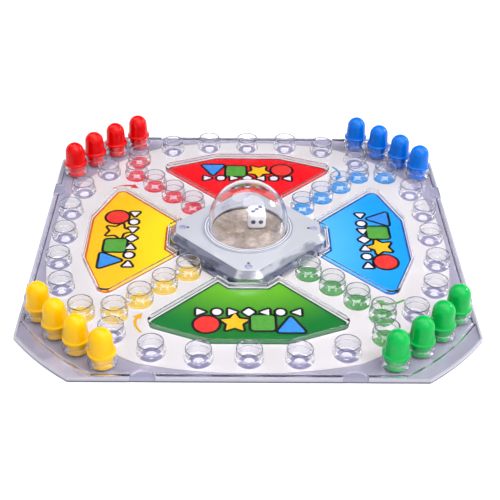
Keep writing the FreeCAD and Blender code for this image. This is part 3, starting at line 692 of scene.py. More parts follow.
@dataclass(frozen=True)
class Tinplate(Finish):
    """Dull mottled sheet metal of the die floor."""

    bright: Colour = ink(206, 190, 176)
    middle: Colour = ink(152, 136, 122)
    dark: Colour = ink(98, 84, 72)
    stops: tuple[float, ...] = (0.32, 0.5, 0.68)
    cloud_scale: float = 70.0
    cloud_share: float = 0.8
    fleck_scale: float = 420.0
    fleck_share: float = 0.2
    fleck_roughness: float = 0.2
    fleck_relief: float = 0.3
    roughness: float = 0.38
    relief: float = 0.12 * MM

    def build(self, web: ShaderWeb) -> bpy.types.Material:
        """Mottled metal.

        Args:
            web: The empty tree to fill.

        Returns:
            The finished material.
        """
        cloud = web.noise(self.cloud_scale, detail=5.0, roughness=0.6)
        fleck = web.noise(self.fleck_scale, detail=3.0)
        stain = web.node("ShaderNodeValToRGB", {
            "stops": list(zip(self.stops, (self.dark, self.middle, self.bright)))}, {
            0: cloud * self.cloud_share + fleck * self.fleck_share})
        return web.finished(web.coated({
            "Base Color": stain.outputs[0], "Metallic": 0.35,
            "Roughness": self.roughness + fleck * self.fleck_roughness,
            "Normal": web.bump(cloud + fleck * self.fleck_relief, self.relief,
                               strength=0.5)}))


@dataclass(frozen=True)
class BareSteel(Finish):
    """Plain steel with fine drawn lines."""

    colour: Colour = ink(176, 176, 182)
    line_scale: float = 900.0
    line_stretch: Place = (1, 0.08, 1)
    line_roughness: float = 0.16
    roughness: float = 0.22
    relief: float = 0.01 * MM

    def build(self, web: ShaderWeb) -> bpy.types.Material:
        """Drawn metal."""
        lines = web.noise(self.line_scale, stretch=self.line_stretch)
        return web.finished(web.coated({
            "Base Color": self.colour, "Metallic": 1.0,
            "Roughness": self.roughness + lines * self.line_roughness,
            "Normal": web.bump(lines, self.relief, strength=0.5)}))


@dataclass(frozen=True)
class FloorPaint(Finish):
    """Pale studio floor that looks white and keeps the board's shadow."""

    colour: Colour = ink(248, 248, 250)
    lift: float = 0.16

    def build(self, web: ShaderWeb) -> bpy.types.Material:
        """Matt paint, lifted for what sees it and not for what it lights.

        Args:
            web: The empty tree to fill.

        Returns:
            The finished material.
        """
        paint = web.coated({"Base Color": self.colour, "Roughness": 0.9,
                            "Specular IOR Level": 0.1})
        glow = web.node("ShaderNodeEmission", None, {
            "Color": WHITE, "Strength": web.seen() * self.lift})
        both = web.node("ShaderNodeAddShader", None, {0: paint, 1: glow.outputs[0]})
        return web.finished(both.outputs[0])


@dataclass(frozen=True)
class FlagTone(Finish):
    """Even tone of a studio card."""

    colour: Colour = WHITE

    def build(self, web: ShaderWeb) -> bpy.types.Material:
        """The tone, whatever the light."""
        return web.finished(web.node("ShaderNodeEmission", None, {
            "Color": self.colour}).outputs[0])


def for_teams(kind: type[Finish], name: str, **tones: tuple[Rgb, Rgb]
              ) -> dict[Team, Finish]:
    """A finish in each team's colour.

    Args:
        kind: The finish's class, whose first two values are colours.
        name: The materials' name, with %s where the team's colour goes.
        tones: Those two colours of each team, 0 to 255.

    Returns:
        The finishes by team.
    """
    return {Team[key.upper()]: kind(name % key, ink(*first), ink(*second))
            for key, (first, second) in tones.items()}


CLEAR = ClearPlastic("clear_moulding")
# The second colour of a clear finish is its painted rim shade.
SOCKET = ClearPlastic("clear_socket", ink(249, 249, 253), ink(22, 24, 42), rim_fall=3.2,
                      bend=1.22, coat=0.7)
CLIP = ClearPlastic("clear_clip", ink(252, 252, 255), bend=1.08, coat=1.0)
DOME = ClearPlastic("clear_dome", ink(248, 248, 252), ink(120, 122, 140), roughness=0.01,
                    wave_scale=40.0, wave_depth=0.03 * MM)
SHEET = ClearSheet("clear_sheet")
TRAY = TrayPlastic("tray_plastic", ink(188, 186, 202), ink(172, 170, 190), roughness=0.16,
                   coat=0.5)
CARD = PrintedCard("white_card")
HOUSING = GreyHousing("grey_housing")
BASE = MouldedPlastic("popper_base_plastic", ink(150, 150, 158), ink(138, 138, 148),
                      roughness=0.4, coat=0.0)
FLOOR = Tinplate("die_floor_tinplate")
STEEL = BareSteel("spring_steel")
DIE = MouldedPlastic("die_white", ink(226, 225, 226), ink(216, 215, 218), coat=0.3,
                     glow=0.1)
# Grey print under the track's places, also used as painted shade round the popper's studs.
GREY_PRINT_AND_STUD_SHADE = PrintInk("ring_grey_ink", ink(124, 124, 154), ink(150, 150, 176))
# Painted outline of the sockets' mouths.
PAINTED_RIM_LINE = PrintInk("rim_line_grey", ink(84, 88, 110), ink(112, 116, 136))
WHITE_INK = PrintInk("white_ink", ink(246, 244, 246), ink(238, 236, 240))
BLACK_INK = PrintInk("black_ink", ink(10, 10, 12), ink(18, 18, 20))
NAVY_INK = PrintInk("pip_navy_ink", ink(6, 12, 78), ink(10, 18, 92))
# Painted shade where a hole shows by each stud.
PAINTED_HOLE_SHADE = PrintInk("pin_mark_ink", ink(62, 66, 88), ink(84, 88, 110))
PIP_RED_INK = PrintInk("pip_red_ink", ink(140, 8, 16), ink(160, 14, 22))

PEG_FINISH = {
    Team.RED: PegPlastic("moulded_red", ink(230, 0, 2), ink(204, 0, 2), roughness=0.06),
    **for_teams(PegPlastic, "moulded_%s",
                yellow=((255, 200, 0), (252, 180, 0)),
                green=((0, 184, 80), (0, 162, 68)),
                blue=((0, 116, 226), (0, 98, 206))),
}
PANEL_FINISH = for_teams(PrintedPanel, "printed_%s",
                         red=((255, 0, 20), (246, 0, 16)),
                         yellow=((255, 238, 0), (255, 200, 0)),
                         green=((112, 196, 24), (0, 124, 42)),
                         blue=((86, 196, 255), (0, 166, 248)))
EDGE_INK = for_teams(PrintInk, "edge_%s_ink",
                     red=((132, 0, 22), (150, 4, 26)),
                     yellow=((206, 84, 12), (222, 104, 16)),
                     green=((0, 74, 36), (6, 88, 40)),
                     blue=((0, 74, 150), (6, 90, 168)))
SHAPE_INK = for_teams(PrintInk, "shape_%s_ink",
                      red=((236, 44, 36), (244, 66, 50)),
                      yellow=((255, 196, 8), (255, 206, 30)),
                      green=((80, 164, 54), (92, 174, 62)),
                      blue=((48, 146, 226), (64, 158, 232)))
PLACE_INK = for_teams(PrintInk, "place_%s_ink",
                      red=((220, 34, 50), (232, 66, 78)),
                      yellow=((240, 200, 30), (246, 214, 80)),
                      green=((48, 146, 52), (84, 166, 80)),
                      blue=((20, 140, 214), (64, 168, 228)))
MARK_INK = for_teams(PrintInk, "mark_%s_ink",
                     red=((248, 206, 210), (244, 178, 186)),
                     yellow=((252, 244, 214), (252, 236, 180)),
                     green=((208, 232, 206), (178, 216, 176)),
                     blue=((206, 230, 248), (172, 212, 242)))
ARROW_INK = for_teams(PrintInk, "arrow_%s_ink",
                      red=((226, 40, 44), (232, 60, 60)),
                      yellow=((250, 184, 0), (252, 192, 20)),
                      green=((70, 160, 50), (90, 170, 70)),
                      blue=((20, 150, 220), (40, 160, 226)))


# ------------------------------------------------------------------ plans


def star(points: int, outer: float, inner: float, turn: float) -> list[Point]:
    """Plan of a star, anticlockwise.

    Args:
        points: Number of its points.
        outer: Radius of its points.
        inner: Radius of the notches between them.
        turn: Direction of the first point, in degrees.

    Returns:
        Its corners.
    """
    corners = []
    for step in range(points * 2):
        angle = math.radians(turn) + math.pi * step / points
        radius = inner if step % 2 else outer
        corners.append((radius * math.cos(angle), radius * math.sin(angle)))
    return corners


def dot(radius: float, corners: int) -> list[Point]:
    """Plan of a round dot, anticlockwise, with an even number of corners."""
    return star(corners // 2, radius, radius, 0.0)


def rectangle(across: float, up: float) -> list[Point]:
    """Plan of a rectangle, anticlockwise, from its half sides."""
    return [(-across, -up), (across, -up), (across, up), (-across, up)]


def rounded(corners: Sequence[Point], radius: float, steps: int = 6) -> list[Point]:
    """Plan with its corners rounded by quadratic bends.

    Args:
        corners: The plan's corners.
        radius: How far from a corner its bend starts.
        steps: Straight pieces in a bend.

    Returns:
        The rounded plan.
    """
    longest_share = 0.45
    plan = []
    for index, corner in enumerate(corners):
        here = Vector(corner)
        ends = []
        for other in (corners[index - 1], corners[(index + 1) % len(corners)]):
            way = Vector(other) - here
            ends.append(here + way.normalized() * min(radius, way.length * longest_share))
        for step in range(steps + 1):
            share = step / steps
            spot = (ends[0] * (1 - share) ** 2 + here * (2 * share * (1 - share))
                    + ends[1] * share ** 2)
            plan.append((spot.x, spot.y))
    return plan


def grown(corners: Sequence[Point], border: float) -> list[Point]:
    """Plan moved outwards by a border.

    Args:
        corners: The plan, anticlockwise.
        border: How far its sides move out.

    Returns:
        The larger plan.
    """
    sharpest = 0.5
    plan = []
    for index, corner in enumerate(corners):
        here = Vector(corner)
        before = (here - Vector(corners[index - 1])).normalized()
        after = (Vector(corners[(index + 1) % len(corners)]) - here).normalized()
        out = Vector((before.y + after.y, -before.x - after.x)).normalized()
        spot = here + out * (border / max(out.dot(Vector((before.y, -before.x))), sharpest))
        plan.append((spot.x, spot.y))
    return plan


def bent_arrow(places: Sequence[Point], width: float, head: float) -> list[Point]:
    """Plan of an arrow bent through three places.

    Args:
        places: Its tail, the middle of its bend and its tip.
        width: Width of its stroke at the head; the tail is finer.
        head: How far its head's barbs stand off the stroke's middle.

    Returns:
        The plan, anticlockwise.
    """
    steps, neck = 14, 0.72
    tail_half, widening = 0.3, 0.2
    tail, middle, tip = (Vector(spot) for spot in places)
    control = middle * 2 - (tail + tip) * 0.5
    left, right = [], []
    for step in range(steps + 1):
        share = neck * step / steps
        spot = (tail * (1 - share) ** 2 + control * (2 * share * (1 - share))
                + tip * share ** 2)
        way = ((control - tail) * (1 - share) + (tip - control) * share).normalized()
        across = Vector((-way.y, way.x)) * width * (tail_half + widening * share / neck)
        left.append(spot + across)
        right.append(spot - across)
    barb = Vector((-way.y, way.x)) * head
    corners = right + [spot - barb, tip, spot + barb] + left[::-1]
    return [(corner.x, corner.y) for corner in corners]


def top_outline(node: bpy.types.Object) -> list[Point]:
    """Plan of a flat node's top face, anticlockwise, in millimetres.

    Args:
        node: The node.

    Returns:
        The corners of the face's outer edge.
    """
    tolerance, digits = 0.001 * MM, 4
    spots = [node.matrix_world @ vertex.co for vertex in node.data.vertices]
    top = max(spot.z for spot in spots) - tolerance
    sides: set[tuple[Point, Point]] = set()
    for face in node.data.polygons:
        if all(spots[index].z > top for index in face.vertices):
            corners = [(round(spot.x / MM, digits), round(spot.y / MM, digits))
                       for spot in (spots[index] for index in face.vertices)]
            for start, end in zip(corners, corners[1:] + corners[:1]):
                if (end, start) in sides:
                    sides.remove((end, start))
                else:
                    sides.add((start, end))
    after = dict(sides)
    first = min(after)
    plan = [first]
    while after[plan[-1]] != first:
        plan.append(after[plan[-1]])
    return plan


# ------------------------------------------------------------------ meshes


def linked(name: str, data: bpy.types.ID) -> bpy.types.Object:
    """New object of a mesh, a light or a camera, in the scene.

    Args:
        name: The object's name.
        data: Its mesh, light or camera.

    Returns:
        The object.
    """
    made = bpy.data.objects.new(name, data)
    bpy.context.scene.collection.objects.link(made)
    return made


def joined_mesh(name: str, shape: bmesh.types.BMesh, finishes: Sequence[Finish]
                ) -> bpy.types.Object:
    """Turn a bmesh into an object in the scene.

    Args:
        name: The object's name.
        shape: The bmesh, which is freed.
        finishes: Finishes in the order of the faces' material numbers.

    Returns:
        The object, at the origin.
    """
    mesh = bpy.data.meshes.new(name)
    shape.to_mesh(mesh)
    shape.free()
    for finish in finishes:
        mesh.materials.append(finish.material())
    return linked(name, mesh)


def flat_card(name: str, width: float, height: float, finish: Finish) -> bpy.types.Object:
    """Flat card about the origin, facing up.

    Args:
        name: The object's name.
        width: Its side along X, in metres.
        height: Its side along Y, in metres.
        finish: Its finish.

    Returns:
        The card.
    """
    shape = bmesh.new()
    shape.faces.new([shape.verts.new((x, y, 0))
                     for x, y in rectangle(width / 2, height / 2)])
    return joined_mesh(name, shape, [finish])


def add_prism(shape: bmesh.types.BMesh, outline: Sequence[Point], low: float, high: float,
              number: int = 0) -> None:
    """Add an upright prism with its faces outwards.

    Args:
        shape: The bmesh to add to.
        outline: Plan, anticlockwise, in millimetres.
        low: Height of its base, in metres.
        high: Height of its top, in metres.
        number: Material number of its faces.
    """
    rings = [[shape.verts.new((x * MM, y * MM, z)) for x, y in outline]
             for z in (low, high)]
    faces = [shape.faces.new(list(reversed(rings[0]))), shape.faces.new(rings[1])]
    for index in range(len(outline)):
        after = (index + 1) % len(outline)
        faces.append(shape.faces.new((rings[0][index], rings[0][after],
                                      rings[1][after], rings[1][index])))
    for face in faces:
        face.material_index = number


def add_ring(shape: bmesh.types.BMesh, outer: Sequence[Point], inner: Sequence[Point],
             low: float, high: float) -> None:
    """Add a flat upright ring between two plans of as many corners, faces outwards.

    Args:
        shape: The bmesh to add to.
        outer: Outer plan, anticlockwise, in millimetres.
        inner: Inner plan, corner by corner with the outer one.
        low: Height of its base, in metres.
        high: Height of its top, in metres.
    """
    loops = [[shape.verts.new((x * MM, y * MM, z)) for x, y in plan]
             for plan, z in ((outer, low), (outer, high), (inner, high), (inner, low))]
    for index in range(len(outer)):
        after = (index + 1) % len(outer)
        for number, loop in enumerate(loops):
            beside = loops[(number + 1) % len(loops)]
            shape.faces.new((loop[index], loop[after], beside[after], beside[index]))


class GrowthTree(NodeWeb):
    """Geometry Nodes tree that sets a small round piece on each seed point."""

    def __init__(self, name: str, sizes: dict[str, float]) -> None:
        """Start a tree with its named inputs.

        Args:
            name: The tree's name.
            sizes: Names and defaults of its sizes, in metres.
        """
        super().__init__(bpy.data.node_groups.new(name, "GeometryNodeTree"))
        self.add_socket("Seeds", "INPUT", "Geometry")
        for label, value in sizes.items():
            self.add_socket(label, "INPUT", "Float").default_value = value
        self.add_socket("Finish", "INPUT", "Material")
        self.add_socket("Pieces", "OUTPUT", "Geometry")
        self.given = self.node("NodeGroupInput").outputs

    def add_socket(self, name: str, way: str, kind: str
                   ) -> bpy.types.NodeTreeInterfaceSocket:
        """Add one of the tree's own inputs or outputs."""
        return self.tree.interface.new_socket(name, in_out=way,
                                              socket_type="NodeSocket" + kind)

    def set_on_seeds(self, piece: bpy.types.NodeSocket) -> None:
        """Close the tree: the piece on every seed, its +Z along the seed's facing.

        Args:
            piece: Geometry of one piece.
        """
        facing = self.node("GeometryNodeInputNamedAttribute", {"data_type": "FLOAT_VECTOR"},
                           {"Name": "facing"})
        turn = self.node("FunctionNodeAlignRotationToVector", {"axis": "Z"},
                         {"Vector": facing.outputs["Attribute"]})
        spread = self.node("GeometryNodeInstanceOnPoints", None, {
            "Points": self.given["Seeds"], "Instance": piece, "Rotation": turn.outputs[0]})
        real = self.node("GeometryNodeRealizeInstances", None, {0: spread.outputs[0]})
        dressed = self.node("GeometryNodeSetMaterial", None, {
            "Geometry": real.outputs[0], "Material": self.given["Finish"]})
        self.node("NodeGroupOutput", None, {"Pieces": dressed.outputs[0]})

    def grow(self, name: str, seeds: Sequence[Vector], sizes: dict[str, float],
             finish: Finish, facing: Sequence[Vector] = ()) -> bpy.types.Object:
        """Run the tree on seed points and keep its result as a plain mesh.

        Args:
            name: Name of the new piece.
            seeds: Where the copies go, in metres.
            sizes: Values of the named sizes, in metres.
            finish: Finish of the piece.
            facing: Which way each copy's +Z points; all point up where it is left out.

        Returns:
            The piece, at the origin.
        """
        mesh = bpy.data.meshes.new(name + "_seeds")
        mesh.from_pydata(seeds, [], [])
        layer = mesh.attributes.new("facing", "FLOAT_VECTOR", "POINT")
        for item, way in zip(layer.data, facing or [UP] * len(seeds)):
            item.vector = way
        seed = linked(name + "_seeds", mesh)
        grower = seed.modifiers.new("grow", "NODES")
        grower.node_group = self.tree
        wanted = {**sizes, "Finish": finish.material()}
        for item in self.tree.interface.items_tree:
            if item.item_type == "SOCKET" and item.name in wanted:
                grower[item.identifier] = wanted[item.name]
        graph = bpy.context.evaluated_depsgraph_get()
        result = bpy.data.meshes.new_from_object(seed.evaluated_get(graph))
        bpy.data.objects.remove(seed)
        result.name = name
        return linked(name, result)


def disc_tree() -> GrowthTree:
    """Tree of flat round discs with the sizes Radius and Thickness.

    Returns:
        The tree.
    """
    tree = GrowthTree("round_discs", {"Radius": 5 * MM, "Thickness": 0.1 * MM})
    disc = tree.node("GeometryNodeMeshCylinder", None, {
        "Vertices": 40, "Radius": tree.given["Radius"], "Depth": tree.given["Thickness"]})
    tree.set_on_seeds(disc.outputs["Mesh"])
    return tree


def hoop_tree() -> GrowthTree:
    """Tree of thin round hoops with the sizes Radius and Wire.

    Returns:
        The tree.
    """
    tree = GrowthTree("round_hoops", {"Radius": 7 * MM, "Wire": 0.1 * MM})
    path = tree.node("GeometryNodeCurvePrimitiveCircle", None, {
        "Resolution": 48, "Radius": tree.given["Radius"]})
    wire = tree.node("GeometryNodeCurvePrimitiveCircle", None, {
        "Resolution": 6, "Radius": tree.given["Wire"]})
    hoop = tree.node("GeometryNodeCurveToMesh", None, {
        "Curve": path.outputs["Curve"], "Profile Curve": wire.outputs["Curve"]})
    smooth = tree.node("GeometryNodeSetShadeSmooth", None, {0: hoop.outputs[0]})
    tree.set_on_seeds(smooth.outputs[0])
    return tree


def button_tree() -> GrowthTree:
    """Tree of low domed buttons with the sizes Radius and Rise.

    Returns:
        The tree.
    """
    tree = GrowthTree("domed_buttons", {"Radius": 2 * MM, "Rise": 0.4 * MM})
    ball = tree.node("GeometryNodeMeshUVSphere", None, {
        "Segments": 24, "Rings": 12, "Radius": tree.given["Radius"]})
    share = tree.node("ShaderNodeMath", {"operation": "DIVIDE"}, {
        0: tree.given["Rise"], 1: tree.given["Radius"]})
    scale = tree.node("ShaderNodeCombineXYZ", None, {0: 1.0, 1: 1.0, 2: share.outputs[0]})
    flat = tree.node("GeometryNodeTransform", None, {
        "Geometry": ball.outputs["Mesh"], "Scale": scale.outputs[0]})
    smooth = tree.node("GeometryNodeSetShadeSmooth", None, {0: flat.outputs[0]})
    tree.set_on_seeds(smooth.outputs[0])
    return tree


# ------------------------------------------------------------------ sub-assemblies


@dataclass
class Assembly:
    """A part of the game that dresses its nodes and may add pieces of its own."""

    frame: dict[str, Any]
    discs: GrowthTree
    ink_sheet: float = 0.05 * MM

    def dress(self, finish: Finish, *names: str) -> None:
        """Give a finish to CAD nodes.

        Args:
            finish: The finish.
            names: The nodes.
        """
        for name in names:
            slots = self.frame["nodes"][name].data.materials
            slots.clear()
            slots.append(finish.material())
            log.info("%s dressed in %s", name, finish.name)

    def add(self, piece: bpy.types.Object, body: str, slot: str) -> None:
        """Let a new piece ride on a body.

        Args:
            piece: The piece.
            body: The body that it moves with.
            slot: Not used.
        """
        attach(piece, body)
        log.info("%s rides on %s: %d faces", piece.name, body, len(piece.data.polygons))

    def add_discs(self, name: str, seeds: Sequence[Vector], radius: float, finish: Finish,
                  slot: str) -> None:
        """Print flat round discs, one ink sheet thick, on the board.

        Args:
            name: Name of the piece.
            seeds: The discs' middles, in metres.
            radius: Their radius.
            finish: Their ink.
            slot: The record's material slot of what they are printed on.
        """
        sizes = {"Radius": radius, "Thickness": self.ink_sheet}
        self.add(self.discs.grow(name, seeds, sizes, finish), "board", slot)

    def mounts(self, start: str) -> list[Vector]:
        """Places of the peg sockets whose mounts' names start so, on the board's plan."""
        return [Vector((*mount["pos_m"][:2], 0)) for mount in self.frame["record"]["mounts"]
                if mount["name"].startswith(start)]


@dataclass
class Board(Assembly):
    """Tray, card, clear deck, bead, clips and the printed places under the sockets."""

    ring_radius: float = 6.3 * MM
    ring_middle: float = 3.2 * MM
    place_radius: float = 8.0 * MM
    mark_reach: float = 4.2
    mark_notch: float = 0.42
    mark_turn: float = 45.0
    arrow_tail: Point = (93.8, -61.9)
    arrow_bend: Point = (84.4, -66.2)
    arrow_tip: Point = (76.0, -62.5)
    arrow_width: float = 2.1
    arrow_head: float = 2.9
    rim_radius: float = 7.3 * MM
    rim_wire: float = 0.22 * MM

    def build(self) -> None:
        """Dress the board and print its places and arrows."""
        self.dress(TRAY, "base_tray")
        self.dress(CARD, "printed_card")
        self.dress(SHEET, "top_deck")
        self.dress(CLEAR, "rim_bead")
        self.dress(CLIP, "snap_clips")
        for team in Team:
            self.dress(SOCKET, f"track_sockets_{team.side}", f"lane_sockets_{team.key}",
                       f"home_sockets_{team.key}")
        self.print_track()
        for team in Team:
            self.print_lane(team)
        for team in Team:
            self.print_arrow(team)
        self.line_rims()

    @property
    def ground(self) -> float:
        """Height of the card's face."""
        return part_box("printed_card")[1].z

    def lifted(self, places: Iterable[Vector], sheets: float) -> list[Vector]:
        """Places at the middle of an ink sheet that lies so many sheets over the card."""
        return [Vector((spot.x, spot.y, self.ground + (sheets + 0.5) * self.ink_sheet))
                for spot in places]

    def start_of(self, team: Team) -> Vector:
        """The coloured start place at the right end of the team's side."""
        return self.mounts(f"track_{team.side}_7")[0]

    def print_track(self) -> None:
        """Grey rings under the track's clear places."""
        places = [spot for team in Team for spot in self.mounts(f"track_{team.side}_")
                  if (spot - self.start_of(team)).length > MM]
        self.add_discs("track_rings", self.lifted(places, 0), self.ring_radius, GREY_PRINT_AND_STUD_SHADE,
                       "card")
        self.add_discs("track_ring_middles", self.lifted(places, 1), self.ring_middle,
                       WHITE_INK, "card")

    def print_lane(self, team: Team) -> None:
        """Coloured places of a lane and of the start, each with a pale four-way mark.

        Args:
            team: Whose lane it is.
        """
        places = self.mounts(f"lane_{team.key}_") + [self.start_of(team)]
        self.add_discs(f"lane_places_{team.key}", self.lifted(places, 0), self.place_radius,
                       PLACE_INK[team], "card")
        shape = bmesh.new()
        low = self.ground + self.ink_sheet
        mark = star(4, self.mark_reach, self.mark_reach * self.mark_notch, self.mark_turn)
        for spot in places:
            outline = [(spot.x / MM + x, spot.y / MM + y) for x, y in mark]
            add_prism(shape, outline, low, low + self.ink_sheet)
        marks = joined_mesh(f"lane_marks_{team.key}", shape, [MARK_INK[team]])
        self.add(marks, "board", "card")

    def print_arrow(self, team: Team) -> None:
        """Bent arrow into the team's lane, in its colour.

        Args:
            team: Whose lane it points into.
        """
        shape = bmesh.new()
        places = [team.turned(*spot) for spot in (self.arrow_tail, self.arrow_bend,
                                                  self.arrow_tip)]
        outline = bent_arrow(places, self.arrow_width, self.arrow_head)
        add_prism(shape, outline, self.ground, self.ground + self.ink_sheet)
        arrow = joined_mesh(f"lane_arrow_{team.key}", shape, [ARROW_INK[team]])
        self.add(arrow, "board", "card")

    def line_rims(self) -> None:
        """Painted outline: a fine grey hoop round each free socket's mouth, in place of the
        line of shade that the moulded edge shows.
        """
        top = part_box("track_sockets_front")[1].z
        seeds = [Vector((spot.x, spot.y, top))
                 for spot in self.mounts("track_") + self.mounts("lane_")]
        sizes = {"Radius": self.rim_radius, "Wire": self.rim_wire}
        # Painted shade line: grey hoops on the sockets' mouths.
        rims = hoop_tree().grow("socket_rim_lines", seeds, sizes, PAINTED_RIM_LINE)
        self.add(rims, "board", "clear")


@dataclass
class Windows(Assembly):
    """Raised clear windows, their printed panels and the plain shapes printed on them."""

    ink_sheet: float = 0.03 * MM
    edge_width: float = 1.4
    border: float = 1.7
    row_place: float = -87.0
    row_step: float = 16.4
    row_lifts: tuple[float, ...] = (0.0, 1.6, 1.6, 0.0)
    disc_radius: float = 7.2
    star_reach: float = 8.8
    star_notch: float = 4.4
    star_bend: float = 1.0
    square_half: float = 6.8
    square_bend: float = 2.2
    triangle_half: float = 8.2
    triangle_foot: float = -6.8
    triangle_tip: float = 7.6
    triangle_bend: float = 2.0
    small_place: float = -75.6
    small_step: float = 9.4
    dot_radius: float = 2.7
    diamond_half: float = 3.6
    diamond_bend: float = 0.8
    barb_half: float = 3.0
    barb_back: float = -2.6
    barb_tip: float = 2.8
    barb_bend: float = 0.7

    def build(self) -> None:
        """Dress the windows and panels and print the shapes."""
        for team in Team:
            self.dress(CLEAR, f"window_{team.side}")
            self.dress(PANEL_FINISH[team], f"panel_{team.key}")
            self.print_edge(team)
            self.print_shapes(team)

    def print_edge(self, team: Team) -> None:
        """Deeper line along the panel's edge.

        Args:
            team: Whose panel it is.
        """
        panel = f"panel_{team.key}"
        outer = top_outline(self.frame["nodes"][panel])
        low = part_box(panel)[1].z
        shape = bmesh.new()
        add_ring(shape, outer, grown(outer, -self.edge_width), low, low + self.ink_sheet)
        edge = joined_mesh(f"panel_edge_{team.key}", shape, [EDGE_INK[team]])
        self.add(edge, "board", panel)

    def big_plans(self) -> list[list[Point]]:
        """Plans of the disc, the star, the square and the triangle.

        Returns:
            The four plans, from left to right.
        """
        half, foot = self.triangle_half, self.triangle_foot
        triangle = [(-half, foot), (half, foot), (0, self.triangle_tip)]
        return [
            dot(self.disc_radius, corners=72),
            rounded(star(5, self.star_reach, self.star_notch, turn=90.0), self.star_bend),
            rounded(rectangle(self.square_half, self.square_half), self.square_bend),
            rounded(triangle, self.triangle_bend),
        ]

    def small_plans(self) -> list[list[Point]]:
        """Plans of the row of barbs and dots about a diamond.

        Returns:
            The seven plans, from left to right.
        """
        side, back, tip = self.barb_half, self.barb_back, self.barb_tip
        right = rounded([(back, -side), (tip, 0), (back, side)], self.barb_bend)
        left = rounded([(-tip, 0), (-back, -side), (-back, side)], self.barb_bend)
        middle = dot(self.dot_radius, corners=56)
        half = self.diamond_half
        diamond = rounded([(0, -half), (half, 0), (0, half), (-half, 0)], self.diamond_bend)
        return [right, middle, right, diamond, left, middle, left]

    def print_shapes(self, team: Team) -> None:
        """A row of big coloured shapes and one of small white ones, bordered in black.

        Args:
            team: Whose panel it is.
        """
        colours = [SHAPE_INK[key] for key in (Team.RED, Team.YELLOW, Team.GREEN, Team.BLUE)]
        big, small = self.big_plans(), self.small_plans()
        shape = bmesh.new()
        for number, (plan, lift) in enumerate(zip(big, self.row_lifts)):
            x = (number - (len(big) - 1) / 2) * self.row_step
            self.stamp(shape, team, plan, (x, self.row_place + lift), number + 1)
        for number, plan in enumerate(small):
            x = (number - (len(small) - 1) / 2) * self.small_step
            self.stamp(shape, team, plan, (x, self.small_place), len(colours) + 1)
        shapes = joined_mesh(f"panel_shapes_{team.key}", shape,
                             [BLACK_INK, *colours, WHITE_INK])
        self.add(shapes, "board", f"panel_{team.key}")

    def stamp(self, shape: bmesh.types.BMesh, team: Team, plan: Sequence[Point],
              place: Point, colour: int) -> None:
        """Print one shape with its black border.

        Args:
            shape: The bmesh to add to.
            team: Whose panel it is.
            plan: The shape about its middle, in millimetres.
            place: Where its middle goes on the front panel.
            colour: Material number of the shape; its border's is 0.
        """
        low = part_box(f"panel_{team.key}")[1].z
        for outline, number in ((grown(plan, self.border), 0), (plan, colour)):
            placed = [team.turned(place[0] + x, place[1] + y) for x, y in outline]
            add_prism(shape, placed, low, low + self.ink_sheet, number)
            low += self.ink_sheet


@dataclass
class Popper(Assembly):
    """Housing, dome and the works under the dome."""

    plate_rise: float = 1.1 * MM
    stud_radius: float = 2.3 * MM
    stud_rise: float = 0.9 * MM
    stud_reach: float = 42.4 * MM
    foot_border: float = 0.15 * MM
    hole_radius: float = 1.0 * MM
    hole_reach: float = 38.9 * MM
    spring_keep: float = 0.46

    def build(self) -> None:
        """Dress the popper, add its studs with their painted shade and copy its spring's
        leaves.
        """
        self.dress(HOUSING, "popper_housing")
        self.dress(DOME, "popper_dome")
        self.dress(FLOOR, "die_floor")
        self.dress(BASE, "popper_base")
        self.dress(STEEL, "snap_spring", "popper_screws")
        self.add_studs()
        self.bow_spring()

    def add_studs(self) -> None:
        """Mould studs over the screws, with painted shade: a grey disc under each and a
        dark disc for a hole by each.
        """
        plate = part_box("popper_dome")[0].z + self.plate_rise
        sizes = {"Radius": self.stud_radius, "Rise": self.stud_rise}
        studs = button_tree().grow("popper_studs", self.at_corners(self.stud_reach, plate),
                                   sizes, CLEAR)
        self.add(studs, "board", "housing")
        sheet = plate + self.ink_sheet / 2
        # Painted shade: dark discs where holes show by the studs.
        self.add_discs("popper_pin_marks", self.at_corners(self.hole_reach, sheet),
                       self.hole_radius, PAINTED_HOLE_SHADE, "housing")
        # Painted shade: grey discs under the clear studs, rimming their feet.
        self.add_discs("popper_stud_feet", self.at_corners(self.stud_reach, sheet),
                       self.stud_radius + self.foot_border, GREY_PRINT_AND_STUD_SHADE, "housing")

    def at_corners(self, reach: float, height: float) -> list[Vector]:
        """Places over the housing's corners, so far from the middle and so high."""
        return [Vector((*team.turned(reach, 0.0), height)) for team in Team]

    def bow_spring(self) -> None:
        """Copy of the snap spring's leaves, shown in place of its node."""
        node = self.frame["nodes"]["snap_spring"]
        mesh = node.data.copy()
        mesh.transform(node.matrix_world)
        leaves = linked("snap_spring_leaves", mesh)
        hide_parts("snap_spring")
        self.add(leaves, "board", "steel")
        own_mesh(leaves)


# Each face of the die by its count: the ways outwards, across and up it.
DIE_FACES = {
    1: ((-1, 0, 0), (0, -1, 0), (0, 0, 1)),
    2: ((0, -1, 0), (1, 0, 0), (0, 0, 1)),
    3: ((0, 0, 1), (1, 0, 0), (0, 1, 0)),
    4: ((0, 0, -1), (1, 0, 0), (0, 1, 0)),
    5: ((0, 1, 0), (1, 0, 0), (0, 0, 1)),
    6: ((1, 0, 0), (0, 1, 0), (0, 0, 1)),
}
PIP_CORNERS = [(-1, -1), (-1, 1), (1, -1), (1, 1)]
# Each count's pips, in steps across and up from the face's middle.
PIP_PLACES = {
    1: [(0, 0)],
    2: [(-1, 0), (1, 0)],
    3: [(-1, -1), (0, 0), (1, 1)],
    4: PIP_CORNERS,
    5: [*PIP_CORNERS, (0, 0)],
    6: [*PIP_CORNERS, (-1, 0), (1, 0)],
}


